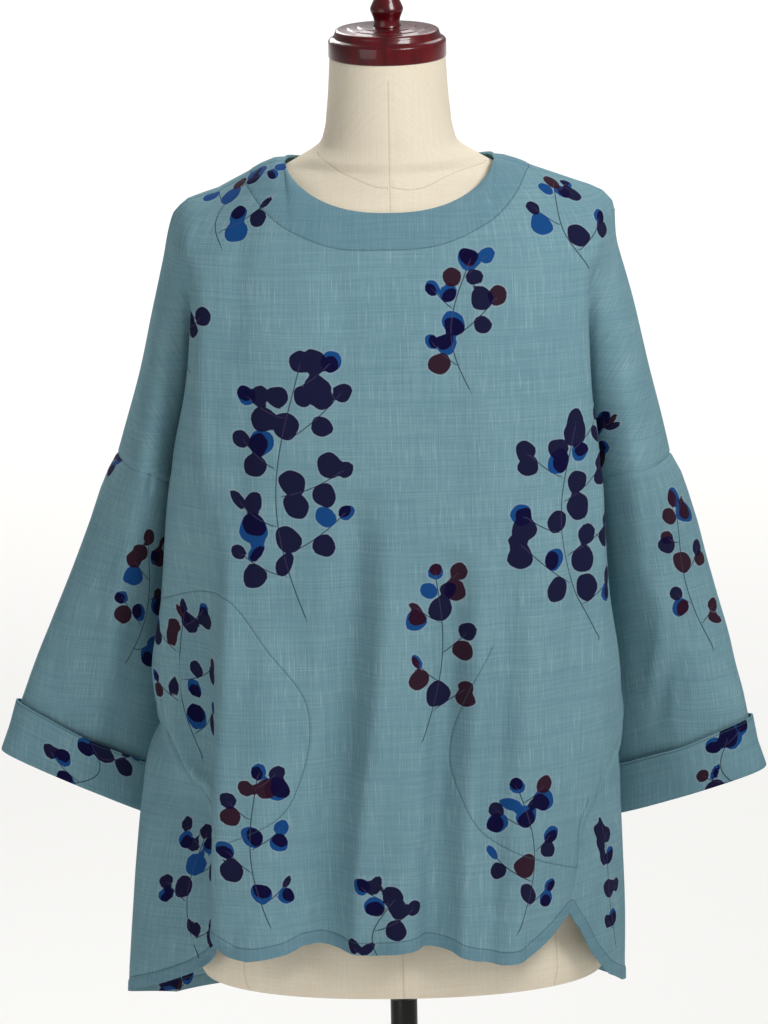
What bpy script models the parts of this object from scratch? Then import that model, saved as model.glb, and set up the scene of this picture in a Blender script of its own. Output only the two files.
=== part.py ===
"""A pullover blouse of woven cloth on a limbless dress form with its stand.

Metres, +Z up. The front of the blouse faces -Y and +X is the viewer's right. The origin is the centre of the
stand's underside. Each cut piece of the blouse is a thin wall laid through sections of the garment.
"""

from collections import namedtuple

import bmesh
import bpy
import numpy as np

for existing in list(bpy.data.objects):
    bpy.data.objects.remove(existing, do_unlink=True)

CLOTH_WALL = 0.0016
SEAM_GAP = 0.0003
UNDERARM_GAP = 0.0030

# Heights of the garment
ROLL_Z = 1.300
UNDERARM_Z = 1.100
ARMHOLE_TOP_Z = {"right": 1.1240, "left": 1.1320}
SLIT_TOP_Z = 0.753

# Neck opening
NECK_HALF_WIDTH = 0.088
NECK_FRONT_DEPTH = 0.070
NECK_BACK_DEPTH = 0.066
NECK_POINT_Z = 1.3832
NECK_FRONT_DROP = 0.0379
NECK_BACK_DROP = 0.0165
NECK_SQUARENESS = 2.4
SHOULDER_SEAM_Y = -0.012
SHOULDER_SEAM_DROP = 0.002

NECK_DROP_POWER = 1.6
NECK_MID_SHARE = 0.42

# The cloth over the shoulder, from the top edge to the roll line: how far the handles of its curve reach, and
# how steeply it leaves the neckline and the shoulder seam
ROLL_HANDLE = 0.42
TOP_HANDLE = 0.33
TOP_HANDLE_DEPTH = 0.15
TOP_FALL = {"front": (0.33, 0.02), "back": (0.15, -0.10)}
SHOULDER_SEAM_FADE = 0.6
SLOPE_STEP = 0.004

# Height above the underarm in which the sides of the body part from the crease beside the sleeve
CREASE_BLEND = 0.05

# Sleeves and cuffs
CUFF_HEIGHT = 0.048
CUFF_STAND_OFF = 0.0034
SLEEVE_END_LIFT = 0.005
SLEEVE_END_HALF_DEPTH = 0.024
SLEEVE_END_POWER = 2.3
SLEEVE_INNER_HOLLOW = 0.005

# Mouths of the pockets in the side seams, where the front stands off the back
MOUTH_LIFT = 0.003
MOUTH_LIFT_SHARES = (1.0, 0.3)
MOUTH_Z = {"right": (0.829, 0.910), "left": (0.842, 0.925)}

# Dress form and stand
FORM_BOTTOM_Z = 0.6805
FORM_TOP_Z = 1.4676
FORM_SIDES = 40
TURNED_STEPS = 40
POLE_SIDES = 32
BASE_RADIUS = 0.165
BASE_THICKNESS = 0.014
POLE_RADIUS = 0.0115
SOCKET_RADIUS = 0.017
SOCKET_LENGTH = 0.030
PART_GAP = 0.0003
TURNED_MERGE = 0.00005
SHARP_ANGLE = 0.7

# Where the grid's columns lie between neighbouring key lines of a panel, from the centre to the outer edge
HALVES = (0, 1 / 2)
THIRDS = (0, 1 / 3, 2 / 3)
BODY_STEPS = (THIRDS, THIRDS, HALVES, HALVES, HALVES, (0, 0.35, 0.6, 0.8))
ARM_STEPS = (THIRDS, THIRDS, THIRDS)
NECK_COLUMNS = len(BODY_STEPS[0]) + len(BODY_STEPS[1])
ARM_COLUMNS = sum(len(steps) for steps in ARM_STEPS)
YOKE_ROWS = 5
CHEST_ROWS = 6
SKIRT_ROWS = 11
SLEEVE_ROWS = 9
YOKE_ROW_POWER = 1.15
UNDERARM_ROW = YOKE_ROWS + CHEST_ROWS

Finish = namedtuple("Finish", "name colour roughness metallic")
CLOTH = Finish("blue_slub_cotton", (0.18, 0.33, 0.36), 0.85, 0.0)
LINEN = Finish("cream_linen", (0.72, 0.64, 0.49), 0.85, 0.0)
LACQUER = Finish("red_lacquered_wood", (0.12, 0.004, 0.010), 0.15, 0.0)
BLACK_STEEL = Finish("black_enamelled_steel", (0.012, 0.013, 0.012), 0.35, 0.9)

# Sections of the front, as (x, y) of each key line at height z. Right is +X. The fold is the edge where the
# body turns back beside the sleeve, and the ridge and valley are the hanging folds in front of it.
Section = namedtuple("Section", "z mid bust ridge valley fold")
FRONT_RIGHT = (
    Section(1.300, (0.040, -0.089), (0.085, -0.087), (0.120, -0.080), (0.145, -0.071), (0.1630, -0.062)),
    Section(1.255, (0.042, -0.107), (0.088, -0.105), (0.122, -0.097), (0.146, -0.087), (0.1625, -0.074)),
    Section(1.200, (0.043, -0.120), (0.090, -0.117), (0.124, -0.108), (0.147, -0.098), (0.1625, -0.084)),
    Section(1.150, (0.043, -0.126), (0.090, -0.121), (0.125, -0.112), (0.148, -0.102), (0.1646, -0.088)),
    Section(1.100, (0.044, -0.130), (0.091, -0.125), (0.126, -0.116), (0.150, -0.104), (0.1685, -0.085)),
    Section(1.020, (0.045, -0.136), (0.093, -0.131), (0.128, -0.121), (0.154, -0.106), (0.1767, -0.076)),
    Section(0.940, (0.046, -0.141), (0.094, -0.138), (0.130, -0.127), (0.158, -0.108), (0.1850, -0.068)),
    Section(0.873, (0.046, -0.146), (0.094, -0.143), (0.131, -0.131), (0.154, -0.112), (0.1720, -0.090)),
    Section(0.824, (0.045, -0.148), (0.092, -0.148), (0.126, -0.133), (0.142, -0.120), (0.1530, -0.107)),
    Section(0.779, (0.044, -0.149), (0.088, -0.153), (0.118, -0.137), (0.132, -0.125), (0.1410, -0.115)),
    Section(0.744, (0.042, -0.149), (0.084, -0.156), (0.110, -0.142), (0.123, -0.131), (0.1320, -0.120)),
    Section(0.630, (0.040, -0.149), (0.080, -0.160), (0.104, -0.148), (0.116, -0.138), (0.1250, -0.126)),
)
FRONT_LEFT = (
    Section(1.300, (-0.040, -0.089), (-0.085, -0.087), (-0.120, -0.080), (-0.147, -0.070), (-0.1655, -0.060)),
    Section(1.255, (-0.042, -0.106), (-0.088, -0.104), (-0.122, -0.096), (-0.150, -0.084), (-0.1670, -0.070)),
    Section(1.200, (-0.043, -0.118), (-0.090, -0.115), (-0.124, -0.107), (-0.153, -0.094), (-0.1718, -0.076)),
    Section(1.150, (-0.043, -0.124), (-0.090, -0.120), (-0.126, -0.112), (-0.158, -0.096), (-0.1820, -0.072)),
    Section(1.100, (-0.043, -0.128), (-0.091, -0.124), (-0.130, -0.117), (-0.160, -0.096), (-0.1893, -0.064)),
    Section(1.020, (-0.043, -0.133), (-0.093, -0.130), (-0.141, -0.122), (-0.160, -0.092), (-0.1980, -0.052)),
    Section(0.940, (-0.044, -0.137), (-0.096, -0.138), (-0.147, -0.129), (-0.160, -0.090), (-0.2050, -0.050)),
    Section(0.910, (-0.044, -0.138), (-0.097, -0.140), (-0.149, -0.131), (-0.160, -0.092), (-0.1970, -0.060)),
    Section(0.880, (-0.045, -0.139), (-0.098, -0.143), (-0.151, -0.134), (-0.159, -0.098), (-0.1760, -0.080)),
    Section(0.838, (-0.046, -0.140), (-0.100, -0.147), (-0.153, -0.137), (-0.158, -0.110), (-0.1592, -0.101)),
    Section(0.780, (-0.047, -0.140), (-0.100, -0.151), (-0.154, -0.140), (-0.158, -0.123), (-0.1570, -0.110)),
    Section(0.741, (-0.048, -0.139), (-0.098, -0.153), (-0.1555, -0.141), (-0.159, -0.128), (-0.1570, -0.115)),
    Section(0.630, (-0.048, -0.139), (-0.096, -0.154), (-0.1570, -0.142), (-0.160, -0.130), (-0.1570, -0.117)),
)

# The back, in the same way. Below the underarm its fold is the outermost line of the side.
BACK_RIGHT = (
    Section(1.300, (0.040, 0.097), (0.085, 0.094), (0.120, 0.085), (0.147, 0.072), (0.1630, 0.060)),
    Section(1.255, (0.042, 0.107), (0.088, 0.104), (0.122, 0.094), (0.148, 0.080), (0.1620, 0.066)),
    Section(1.200, (0.043, 0.113), (0.090, 0.109), (0.124, 0.098), (0.148, 0.084), (0.1610, 0.069)),
    Section(1.150, (0.043, 0.117), (0.090, 0.112), (0.124, 0.100), (0.148, 0.085), (0.1600, 0.067)),
    Section(1.100, (0.044, 0.121), (0.090, 0.115), (0.123, 0.102), (0.146, 0.085), (0.1570, 0.060)),
    Section(1.020, (0.044, 0.128), (0.090, 0.120), (0.122, 0.105), (0.143, 0.083), (0.1530, 0.048)),
    Section(0.940, (0.044, 0.134), (0.090, 0.125), (0.122, 0.107), (0.142, 0.080), (0.1580, 0.036)),
    Section(0.873, (0.045, 0.140), (0.092, 0.130), (0.125, 0.110), (0.145, 0.078), (0.1840, -0.022)),
    Section(0.824, (0.045, 0.144), (0.094, 0.134), (0.130, 0.112), (0.152, 0.076), (0.1858, -0.034)),
    Section(0.779, (0.046, 0.148), (0.096, 0.138), (0.136, 0.114), (0.162, 0.074), (0.1868, -0.036)),
    Section(0.744, (0.047, 0.151), (0.098, 0.141), (0.140, 0.116), (0.168, 0.073), (0.1872, -0.036)),
    Section(0.630, (0.050, 0.158), (0.103, 0.148), (0.150, 0.120), (0.177, 0.070), (0.1850, -0.034)),
)
BACK_LEFT = (
    Section(1.300, (-0.040, 0.097), (-0.085, 0.094), (-0.120, 0.085), (-0.148, 0.072), (-0.1655, 0.058)),
    Section(1.255, (-0.042, 0.107), (-0.088, 0.104), (-0.122, 0.094), (-0.150, 0.079), (-0.1655, 0.062)),
    Section(1.200, (-0.043, 0.113), (-0.090, 0.109), (-0.124, 0.098), (-0.151, 0.082), (-0.1660, 0.064)),
    Section(1.150, (-0.043, 0.117), (-0.090, 0.112), (-0.125, 0.100), (-0.152, 0.083), (-0.1660, 0.060)),
    Section(1.100, (-0.044, 0.121), (-0.090, 0.115), (-0.125, 0.102), (-0.151, 0.084), (-0.1650, 0.054)),
    Section(1.020, (-0.044, 0.127), (-0.090, 0.119), (-0.124, 0.104), (-0.150, 0.083), (-0.1660, 0.044)),
    Section(0.940, (-0.044, 0.133), (-0.091, 0.124), (-0.126, 0.106), (-0.152, 0.080), (-0.1800, 0.022)),
    Section(0.880, (-0.045, 0.138), (-0.093, 0.128), (-0.130, 0.108), (-0.156, 0.079), (-0.2100, -0.022)),
    Section(0.838, (-0.045, 0.142), (-0.095, 0.131), (-0.135, 0.110), (-0.162, 0.078), (-0.2172, -0.032)),
    Section(0.780, (-0.046, 0.147), (-0.098, 0.136), (-0.143, 0.112), (-0.176, 0.076), (-0.2242, -0.030)),
    Section(0.741, (-0.047, 0.150), (-0.100, 0.139), (-0.148, 0.113), (-0.184, 0.075), (-0.2275, -0.028)),
    Section(0.630, (-0.050, 0.158), (-0.105, 0.147), (-0.158, 0.115), (-0.198, 0.072), (-0.2370, -0.022)),
)

# The centre lines, and the side line. Above the underarm the side line is the bottom of the crease between
# body and sleeve, at y in front and -y behind. Below it, it is the side seam.
Centre = namedtuple("Centre", "z front back")
CENTRES = (
    Centre(1.300, -0.088, 0.096),
    Centre(1.255, -0.105, 0.106),
    Centre(1.200, -0.119, 0.112),
    Centre(1.150, -0.126, 0.116),
    Centre(1.100, -0.131, 0.120),
    Centre(1.020, -0.138, 0.128),
    Centre(0.940, -0.145, 0.136),
    Centre(0.873, -0.151, 0.142),
    Centre(0.800, -0.157, 0.149),
    Centre(0.744, -0.162, 0.155),
    Centre(0.630, -0.168, 0.165),
)
SidePoint = namedtuple("SidePoint", "z x y")
SIDE_RIGHT = (
    SidePoint(1.300, 0.1720, -0.052),
    SidePoint(1.255, 0.1640, -0.044),
    SidePoint(1.200, 0.1590, -0.030),
    SidePoint(1.150, 0.1590, -0.016),
    SidePoint(1.100, 0.1620, 0.000),
    SidePoint(1.020, 0.1610, -0.002),
    SidePoint(0.940, 0.1800, -0.008),
    SidePoint(0.905, 0.1868, -0.020),
    SidePoint(0.875, 0.1790, -0.048),
    SidePoint(0.857, 0.1666, -0.075),
    SidePoint(0.833, 0.1536, -0.095),
    SidePoint(0.788, 0.1487, -0.104),
    SidePoint(SLIT_TOP_Z, 0.1404, -0.110),
    SidePoint(0.630, 0.1330, -0.118),
)
SIDE_LEFT = (
    SidePoint(1.300, -0.1720, -0.050),
    SidePoint(1.255, -0.1670, -0.042),
    SidePoint(1.200, -0.1650, -0.030),
    SidePoint(1.150, -0.1680, -0.016),
    SidePoint(1.100, -0.1720, 0.000),
    SidePoint(1.020, -0.1740, -0.002),
    SidePoint(0.945, -0.2035, -0.006),
    SidePoint(0.922, -0.2043, -0.024),
    SidePoint(0.892, -0.1930, -0.055),
    SidePoint(0.876, -0.1795, -0.074),
    SidePoint(0.860, -0.1688, -0.083),
    SidePoint(0.847, -0.1607, -0.090),
    SidePoint(0.809, -0.1565, -0.096),
    SidePoint(SLIT_TOP_Z, -0.1545, -0.101),
    SidePoint(0.630, -0.1530, -0.105),
)

# The dropped shoulder beyond the crease, which hangs as a flattened tube. It is the same behind, at -y.
ArmSection = namedtuple("ArmSection", "z inner bulge outer")
ARM_RIGHT = (
    ArmSection(1.300, (0.1780, -0.043), (0.1850, -0.027), (0.1918, -0.004)),
    ArmSection(1.255, (0.1740, -0.046), (0.1880, -0.039), (0.2035, -0.003)),
    ArmSection(1.200, (0.1720, -0.045), (0.1910, -0.050), (0.2155, -0.002)),
    ArmSection(1.150, (0.1740, -0.044), (0.1970, -0.058), (0.2275, -0.001)),
    ArmSection(1.090, (0.1790, -0.045), (0.2060, -0.067), (0.2400, 0.000)),
)
ARM_LEFT = (
    ArmSection(1.300, (-0.1780, -0.042), (-0.1850, -0.026), (-0.1905, -0.004)),
    ArmSection(1.255, (-0.1760, -0.044), (-0.1880, -0.038), (-0.2012, -0.003)),
    ArmSection(1.200, (-0.1790, -0.044), (-0.1935, -0.048), (-0.2138, -0.002)),
    ArmSection(1.150, (-0.1865, -0.044), (-0.2030, -0.057), (-0.2285, -0.001)),
    ArmSection(1.090, (-0.1970, -0.045), (-0.2155, -0.067), (-0.2460, 0.000)),
)

# The shoulder line from the neck point to the tip, where the dropped shoulder starts to hang
ShoulderPoint = namedtuple("ShoulderPoint", "x z")
SHOULDER_RIGHT = (
    ShoulderPoint(0.0880, 1.3832),
    ShoulderPoint(0.0960, 1.3820),
    ShoulderPoint(0.1070, 1.3782),
    ShoulderPoint(0.1196, 1.3728),
    ShoulderPoint(0.1475, 1.3632),
    ShoulderPoint(0.1670, 1.3560),
    ShoulderPoint(0.1780, 1.3512),
    ShoulderPoint(0.1860, 1.3430),
    ShoulderPoint(0.1890, 1.3345),
)
SHOULDER_LEFT = (
    ShoulderPoint(-0.0880, 1.3835),
    ShoulderPoint(-0.0960, 1.3832),
    ShoulderPoint(-0.1070, 1.3788),
    ShoulderPoint(-0.1180, 1.3722),
    ShoulderPoint(-0.1412, 1.3588),
    ShoulderPoint(-0.1680, 1.3503),
    ShoulderPoint(-0.1752, 1.3450),
    ShoulderPoint(-0.1800, 1.3400),
    ShoulderPoint(-0.1830, 1.3335),
)
# Where the key lines from bust to outer start, as shares of the shoulder line's width
SHOULDER_SHARES = (0.0, 0.27, 0.50, 0.66, 0.77, 0.86, 0.94, 1.0)

# Height of the hem along the key lines: 0 is the centre, 2 the bust, 5 the fold and 6 the top of the slit
HemPoint = namedtuple("HemPoint", "key z")
HEM_FRONT_RIGHT = (
    HemPoint(0.0, 0.7336), HemPoint(0.5, 0.7360), HemPoint(1.0, 0.7313), HemPoint(1.5, 0.7238),
    HemPoint(2.0, 0.7212), HemPoint(2.6, 0.7224), HemPoint(3.0, 0.7260), HemPoint(3.5, 0.7298),
    HemPoint(4.0, 0.7347), HemPoint(4.5, 0.7395), HemPoint(5.0, 0.7450), HemPoint(6.0, SLIT_TOP_Z),
)
HEM_FRONT_LEFT = (
    HemPoint(0.0, 0.7336), HemPoint(0.5, 0.7302), HemPoint(1.0, 0.7304), HemPoint(1.33, 0.7352),
    HemPoint(1.67, 0.7374), HemPoint(2.0, 0.7318), HemPoint(2.5, 0.7274), HemPoint(2.75, 0.7300),
    HemPoint(3.0, 0.7375), HemPoint(4.0, 0.7440), HemPoint(5.0, 0.7490), HemPoint(6.0, SLIT_TOP_Z),
)
HEM_BACK_RIGHT = (
    HemPoint(0.0, 0.6430), HemPoint(2.0, 0.6420), HemPoint(3.0, 0.6425), HemPoint(4.0, 0.6490),
    HemPoint(5.0, 0.6720), HemPoint(5.35, 0.6860), HemPoint(5.6, 0.7090), HemPoint(5.8, 0.7350),
    HemPoint(6.0, SLIT_TOP_Z),
)
HEM_BACK_LEFT = (
    HemPoint(0.0, 0.6430), HemPoint(1.0, 0.6410), HemPoint(2.0, 0.6360), HemPoint(3.0, 0.6330),
    HemPoint(4.0, 0.6375), HemPoint(5.0, 0.6665), HemPoint(5.35, 0.6804), HemPoint(5.6, 0.6950),
    HemPoint(5.8, 0.7130), HemPoint(6.0, SLIT_TOP_Z),
)

# The open end of each sleeve, from its inner to its outer corner
SleeveEnd = namedtuple("SleeveEnd", "inner outer")
SLEEVE_ENDS = {
    "right": SleeveEnd((0.1800, 0.072, 0.7920), (0.3098, 0.030, 0.8400)),
    "left": SleeveEnd((-0.2060, 0.074, 0.7950), (-0.3365, 0.030, 0.8655)),
}
# How far the outer edge of each sleeve bows out, at shares of its length
Bow = namedtuple("Bow", "share right left")
SLEEVE_BOWS = (
    Bow(0.00, 0.0000, 0.0000),
    Bow(0.06, 0.0042, 0.0027),
    Bow(0.12, 0.0050, 0.0034),
    Bow(0.22, 0.0055, 0.0023),
    Bow(0.33, 0.0046, 0.0020),
    Bow(0.60, 0.0036, 0.0016),
    Bow(0.75, 0.0018, 0.0022),
    Bow(0.84, -0.0004, 0.0016),
    Bow(0.92, -0.0020, 0.0000),
    Bow(1.00, 0.0000, 0.0000),
)

# Rows of the turned-up cuff: height above the sleeve's end, distance out from the sleeve, and the turn of its
# wall in degrees, from down through outward to up
CuffRow = namedtuple("CuffRow", "up out turn")
CUFF_ROWS = (
    CuffRow(SLEEVE_END_LIFT - SEAM_GAP, 0.0, -90.0),
    CuffRow(0.0015, 0.0002, -65.0),
    CuffRow(0.0, CUFF_STAND_OFF / 2, 0.0),
    CuffRow(0.0015, CUFF_STAND_OFF - 0.0002, 65.0),
    CuffRow(CUFF_HEIGHT / 2, CUFF_STAND_OFF, 90.0),
    CuffRow(CUFF_HEIGHT, CUFF_STAND_OFF + 0.0012, 90.0),
)

# Sections of the dress form, each a rounded outline of this power
FormSection = namedtuple("FormSection", "z half_width front back power")
FORM_SECTIONS = (
    FormSection(FORM_BOTTOM_Z, 0.171, 0.114, 0.120, 2.25),
    FormSection(0.6880, 0.175, 0.118, 0.125, 2.2),
    FormSection(0.740, 0.1755, 0.120, 0.129, 2.1),
    FormSection(0.800, 0.171, 0.117, 0.126, 2.1),
    FormSection(0.880, 0.152, 0.106, 0.110, 2.1),
    FormSection(0.960, 0.131, 0.097, 0.093, 2.1),
    FormSection(1.020, 0.124, 0.097, 0.087, 2.1),
    FormSection(1.090, 0.132, 0.107, 0.091, 2.2),
    FormSection(1.160, 0.141, 0.113, 0.096, 2.2),
    FormSection(1.210, 0.147, 0.108, 0.098, 2.1),
    FormSection(1.260, 0.154, 0.095, 0.096, 2.0),
    FormSection(1.300, 0.163, 0.081, 0.089, 2.0),
    FormSection(1.325, 0.169, 0.073, 0.082, 1.9),
)
FORM_SHOULDERS = (
    FormSection(1.3490, 0.1620, 0.0660, 0.0690, 1.65),
    FormSection(1.3575, 0.1390, 0.0600, 0.0620, 1.50),
    FormSection(1.3695, 0.1110, 0.0550, 0.0560, 1.45),
    FormSection(1.3768, 0.0890, 0.0530, 0.0530, 1.50),
)
FORM_NECK = (
    FormSection(1.3850, 0.0735, 0.0535, 0.0530, 1.8),
    FormSection(1.3890, 0.0662, 0.0530, 0.0525, 1.9),
    FormSection(1.3940, 0.0595, 0.0525, 0.0520, 2.0),
    FormSection(1.4050, 0.0548, 0.0525, 0.0530, 2.0),
    FormSection(1.4250, 0.0520, 0.0510, 0.0510, 2.0),
    FormSection(FORM_TOP_Z, 0.0490, 0.0490, 0.0490, 2.0),
)

# Turned outlines, as (radius, height above the piece's foot), from the top of the axis down the outer side
CAP_OUTLINE = (
    (0.0, 0.0255), (0.0240, 0.0255), (0.0248, 0.0246), (0.0325, 0.0243), (0.0333, 0.0235), (0.0420, 0.0231),
    (0.0435, 0.0221), (0.0442, 0.0195), (0.0455, 0.0167), (0.0480, 0.0154), (0.0495, 0.0136), (0.0496, 0.0005),
    (0.0491, 0.0), (0.0, 0.0),
)
FINIAL_OUTLINE = (
    (0.0, 0.0640), (0.0040, 0.0632), (0.0085, 0.0600), (0.0112, 0.0550), (0.0118, 0.0500), (0.0108, 0.0440),
    (0.0085, 0.0390), (0.0068, 0.0350), (0.0074, 0.0300), (0.0092, 0.0250), (0.0122, 0.0190), (0.0138, 0.0150),
    (0.0137, 0.0125), (0.0120, 0.0085), (0.0111, 0.0055), (0.0113, 0.0015), (0.0118, 0.0), (0.0, 0.0),
)
SOCKET_OUTLINE = (
    (0.0, SOCKET_LENGTH), (0.0165, SOCKET_LENGTH), (SOCKET_RADIUS, SOCKET_LENGTH - 0.001),
    (SOCKET_RADIUS, 0.004), (0.0145, 0.0), (0.0, 0.0),
)
BASE_OUTLINE = (
    (0.0, 0.048), (0.0190, 0.048), (0.0210, 0.046), (0.0225, 0.026), (0.0300, 0.019),
    (0.0700, BASE_THICKNESS), (BASE_RADIUS - 0.004, 0.011), (BASE_RADIUS, 0.008), (BASE_RADIUS, 0.0015),
    (BASE_RADIUS - 0.0015, 0.0), (0.0, 0.0),
)


def smooth_table(rows, column, heights):
    """The column of a table of sections, curved smoothly through its rows, at each of the heights."""
    z = np.array([row.z for row in rows][::-1])
    values = np.array([getattr(row, column) for row in rows][::-1], float)
    if values.ndim == 1:
        values = values[:, None]
    step = np.diff(z)
    slope = np.diff(values, axis=0) / step[:, None]
    tangent = np.vstack([slope[:1], np.zeros_like(slope[1:]), slope[-1:]])
    share = step[:-1, None] / (step[:-1, None] + step[1:, None])
    tangent[1:-1] = slope[:-1] * (1 - share) + slope[1:] * share
    heights = np.clip(heights, z[0], z[-1])
    cell = np.clip(np.searchsorted(z, heights, side="right") - 1, 0, len(z) - 2)
    t = ((heights - z[cell]) / step[cell])[:, None]
    run = step[cell][:, None]
    return (
        values[cell] * (1 + 2 * t) * (1 - t) ** 2
        + tangent[cell] * run * t * (1 - t) ** 2
        + values[cell + 1] * t * t * (3 - 2 * t)
        + tangent[cell + 1] * run * t * t * (t - 1)
    )


def curve_through(keys, cell, t):
    """A smooth curve through rows of key points. Row n is read in its cell[n], at the share t[n] of it."""
    rows = np.arange(len(keys))
    chord = np.linalg.norm(np.diff(keys, axis=1), axis=2) + 1e-7
    before, along, after = (keys[rows, cell + k + 1] - keys[rows, cell + k] for k in (-1, 0, 1))
    before_run, run, after_run = (chord[rows, cell + k][:, None] for k in (-1, 0, 1))
    start = (before / before_run * run + along / run * before_run) / (run + before_run)
    end = (along / run * after_run + after / after_run * run) / (run + after_run)
    t = t[:, None]
    return (
        keys[rows, cell] * (1 + 2 * t) * (1 - t) ** 2
        + start * run * t * (1 - t) ** 2
        + keys[rows, cell + 1] * t * t * (3 - 2 * t)
        + end * run * t * t * (t - 1)
    )


def ease(x):
    """0 to 1 with no corner at either end."""
    x = np.clip(x, 0.0, 1.0)
    return x * x * (3 - 2 * x)


class HalfPanel:
    """One half of the front or back, from its centre line to its outer edge."""

    TABLES = {
        ("front", "right"): (FRONT_RIGHT, HEM_FRONT_RIGHT),
        ("front", "left"): (FRONT_LEFT, HEM_FRONT_LEFT),
        ("back", "right"): (BACK_RIGHT, HEM_BACK_RIGHT),
        ("back", "left"): (BACK_LEFT, HEM_BACK_LEFT),
    }

    def __init__(self, face, side):
        self.face, self.side = face, side
        self.sections, self.hem = self.TABLES[face, side]
        self.other_sections = self.TABLES["back" if face == "front" else "front", side][0]
        self.side_points = SIDE_RIGHT if side == "right" else SIDE_LEFT
        self.arm = ARM_RIGHT if side == "right" else ARM_LEFT
        self.sign = 1.0 if side == "right" else -1.0
        self.turn = 1.0 if face == "front" else -1.0
        self.armhole_top = ARMHOLE_TOP_Z[side]
        self.shoulder = SHOULDER_RIGHT if side == "right" else SHOULDER_LEFT

    def body_keys(self, z):
        """Key points at heights z: far mid line, centre, mid, bust, ridge, valley, fold, side and beyond."""
        count = len(z)
        centre = np.column_stack([np.zeros(count), smooth_table(CENTRES, self.face, z)[:, 0]])
        named = [smooth_table(self.sections, name, z) for name in Section._fields[1:]]
        far_side = "left" if self.side == "right" else "right"
        far_mid = smooth_table(self.TABLES[self.face, far_side][0], "mid", z)
        side = self.side_line(z)
        inner = smooth_table(self.arm, "inner", np.maximum(z, self.arm[-1].z)) * (1, self.turn)
        round_the_side = smooth_table(self.other_sections, "fold", z)
        joined = ease((z - UNDERARM_Z) / CREASE_BLEND)[:, None]
        beyond = inner * joined + round_the_side * (1 - joined)
        return np.stack([far_mid, centre, *named, side, beyond], axis=1)

    def side_line(self, z):
        points = np.column_stack([smooth_table(self.side_points, name, z)[:, 0] for name in ("x", "y")])
        if self.face == "back":
            points[z > UNDERARM_Z, 1] *= -1
        return points

    def arm_keys(self, z):
        """Key points at heights z: before the crease, side, inner, bulge, outer and beyond the outer edge."""
        fold = smooth_table(self.sections, "fold", z)
        named = [smooth_table(self.arm, name, z) * (1, self.turn) for name in ArmSection._fields[1:]]
        named[2][:, 1] *= self.turn
        bulge = named[1]
        return np.stack([fold, self.side_line(z), *named, bulge * (1, -1)], axis=1)

    def section_point(self, u, z):
        """Points at key position u, 0 at the centre, 6 at the side and 9 at the outer edge, and height z."""
        u, z = np.broadcast_arrays(np.asarray(u, float), np.asarray(z, float))
        flat_u, flat_z = u.ravel(), z.ravel()
        points = np.empty((flat_u.size, 3))
        points[:, 2] = flat_z
        on_body = flat_u <= len(BODY_STEPS)
        if on_body.any():
            cell = np.minimum(flat_u[on_body].astype(int), len(BODY_STEPS) - 1)
            keys = self.body_keys(flat_z[on_body])
            points[on_body, :2] = curve_through(keys, cell + 1, flat_u[on_body] - cell)
        if (~on_body).any():
            along = flat_u[~on_body] - len(BODY_STEPS)
            cell = np.minimum(along.astype(int), len(ARM_STEPS) - 1)
            keys = self.arm_keys(flat_z[~on_body])
            points[~on_body, :2] = curve_through(keys, cell + 1, along - cell)
        return points.reshape(u.shape + (3,))

    def armhole_height(self, u):
        """Height of the lowest chest row: level across the body, then rising along the armhole seam."""
        share = np.clip((u - len(BODY_STEPS)) / len(ARM_STEPS), 0, 1)
        return UNDERARM_Z + (self.armhole_top - UNDERARM_Z) * np.sin(share * np.pi / 2)

    def hem_height(self, u):
        return np.interp(u, [point.key for point in self.hem], [point.z for point in self.hem])

    def top_point(self, u):
        """Points on the neckline, up to the bust key, and then on the shoulder seam."""
        u = np.asarray(u, float)
        points = np.empty(u.shape + (3,))
        neck = u < 2
        angle_share = np.interp(u, (0, 1, 2), (0, NECK_MID_SHARE, 1))
        points[neck] = self.neck_point(angle_share[neck])
        line_x = np.array([abs(row.x) for row in self.shoulder])
        share = np.interp(u[~neck], range(2, 10), SHOULDER_SHARES)
        x = line_x[0] + (line_x[-1] - line_x[0]) * share
        z = np.interp(x, line_x, [row.z for row in self.shoulder])
        y = SHOULDER_SEAM_Y * (1 - SHOULDER_SEAM_FADE * share)
        points[~neck] = np.column_stack([x, y, z - SHOULDER_SEAM_DROP * (1 - share)])
        points[..., 0] *= self.sign
        return points

    def neck_point(self, share):
        """Points on the neckline on the +X side, from the centre at 0 to the shoulder seam at 1."""
        depth = NECK_FRONT_DEPTH if self.face == "front" else NECK_BACK_DEPTH
        drop = NECK_FRONT_DROP if self.face == "front" else NECK_BACK_DROP
        angle = share * np.pi / 2
        across = NECK_HALF_WIDTH * np.sin(angle) ** (2 / NECK_SQUARENESS)
        inward = np.cos(angle) ** (2 / NECK_SQUARENESS)
        fall = (drop - SHOULDER_SEAM_DROP) * inward**NECK_DROP_POWER
        z = NECK_POINT_Z - SHOULDER_SEAM_DROP * share**4 - fall
        reach = -self.turn * depth - SHOULDER_SEAM_Y
        return np.column_stack([across, SHOULDER_SEAM_Y + reach * inward, z])

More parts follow.
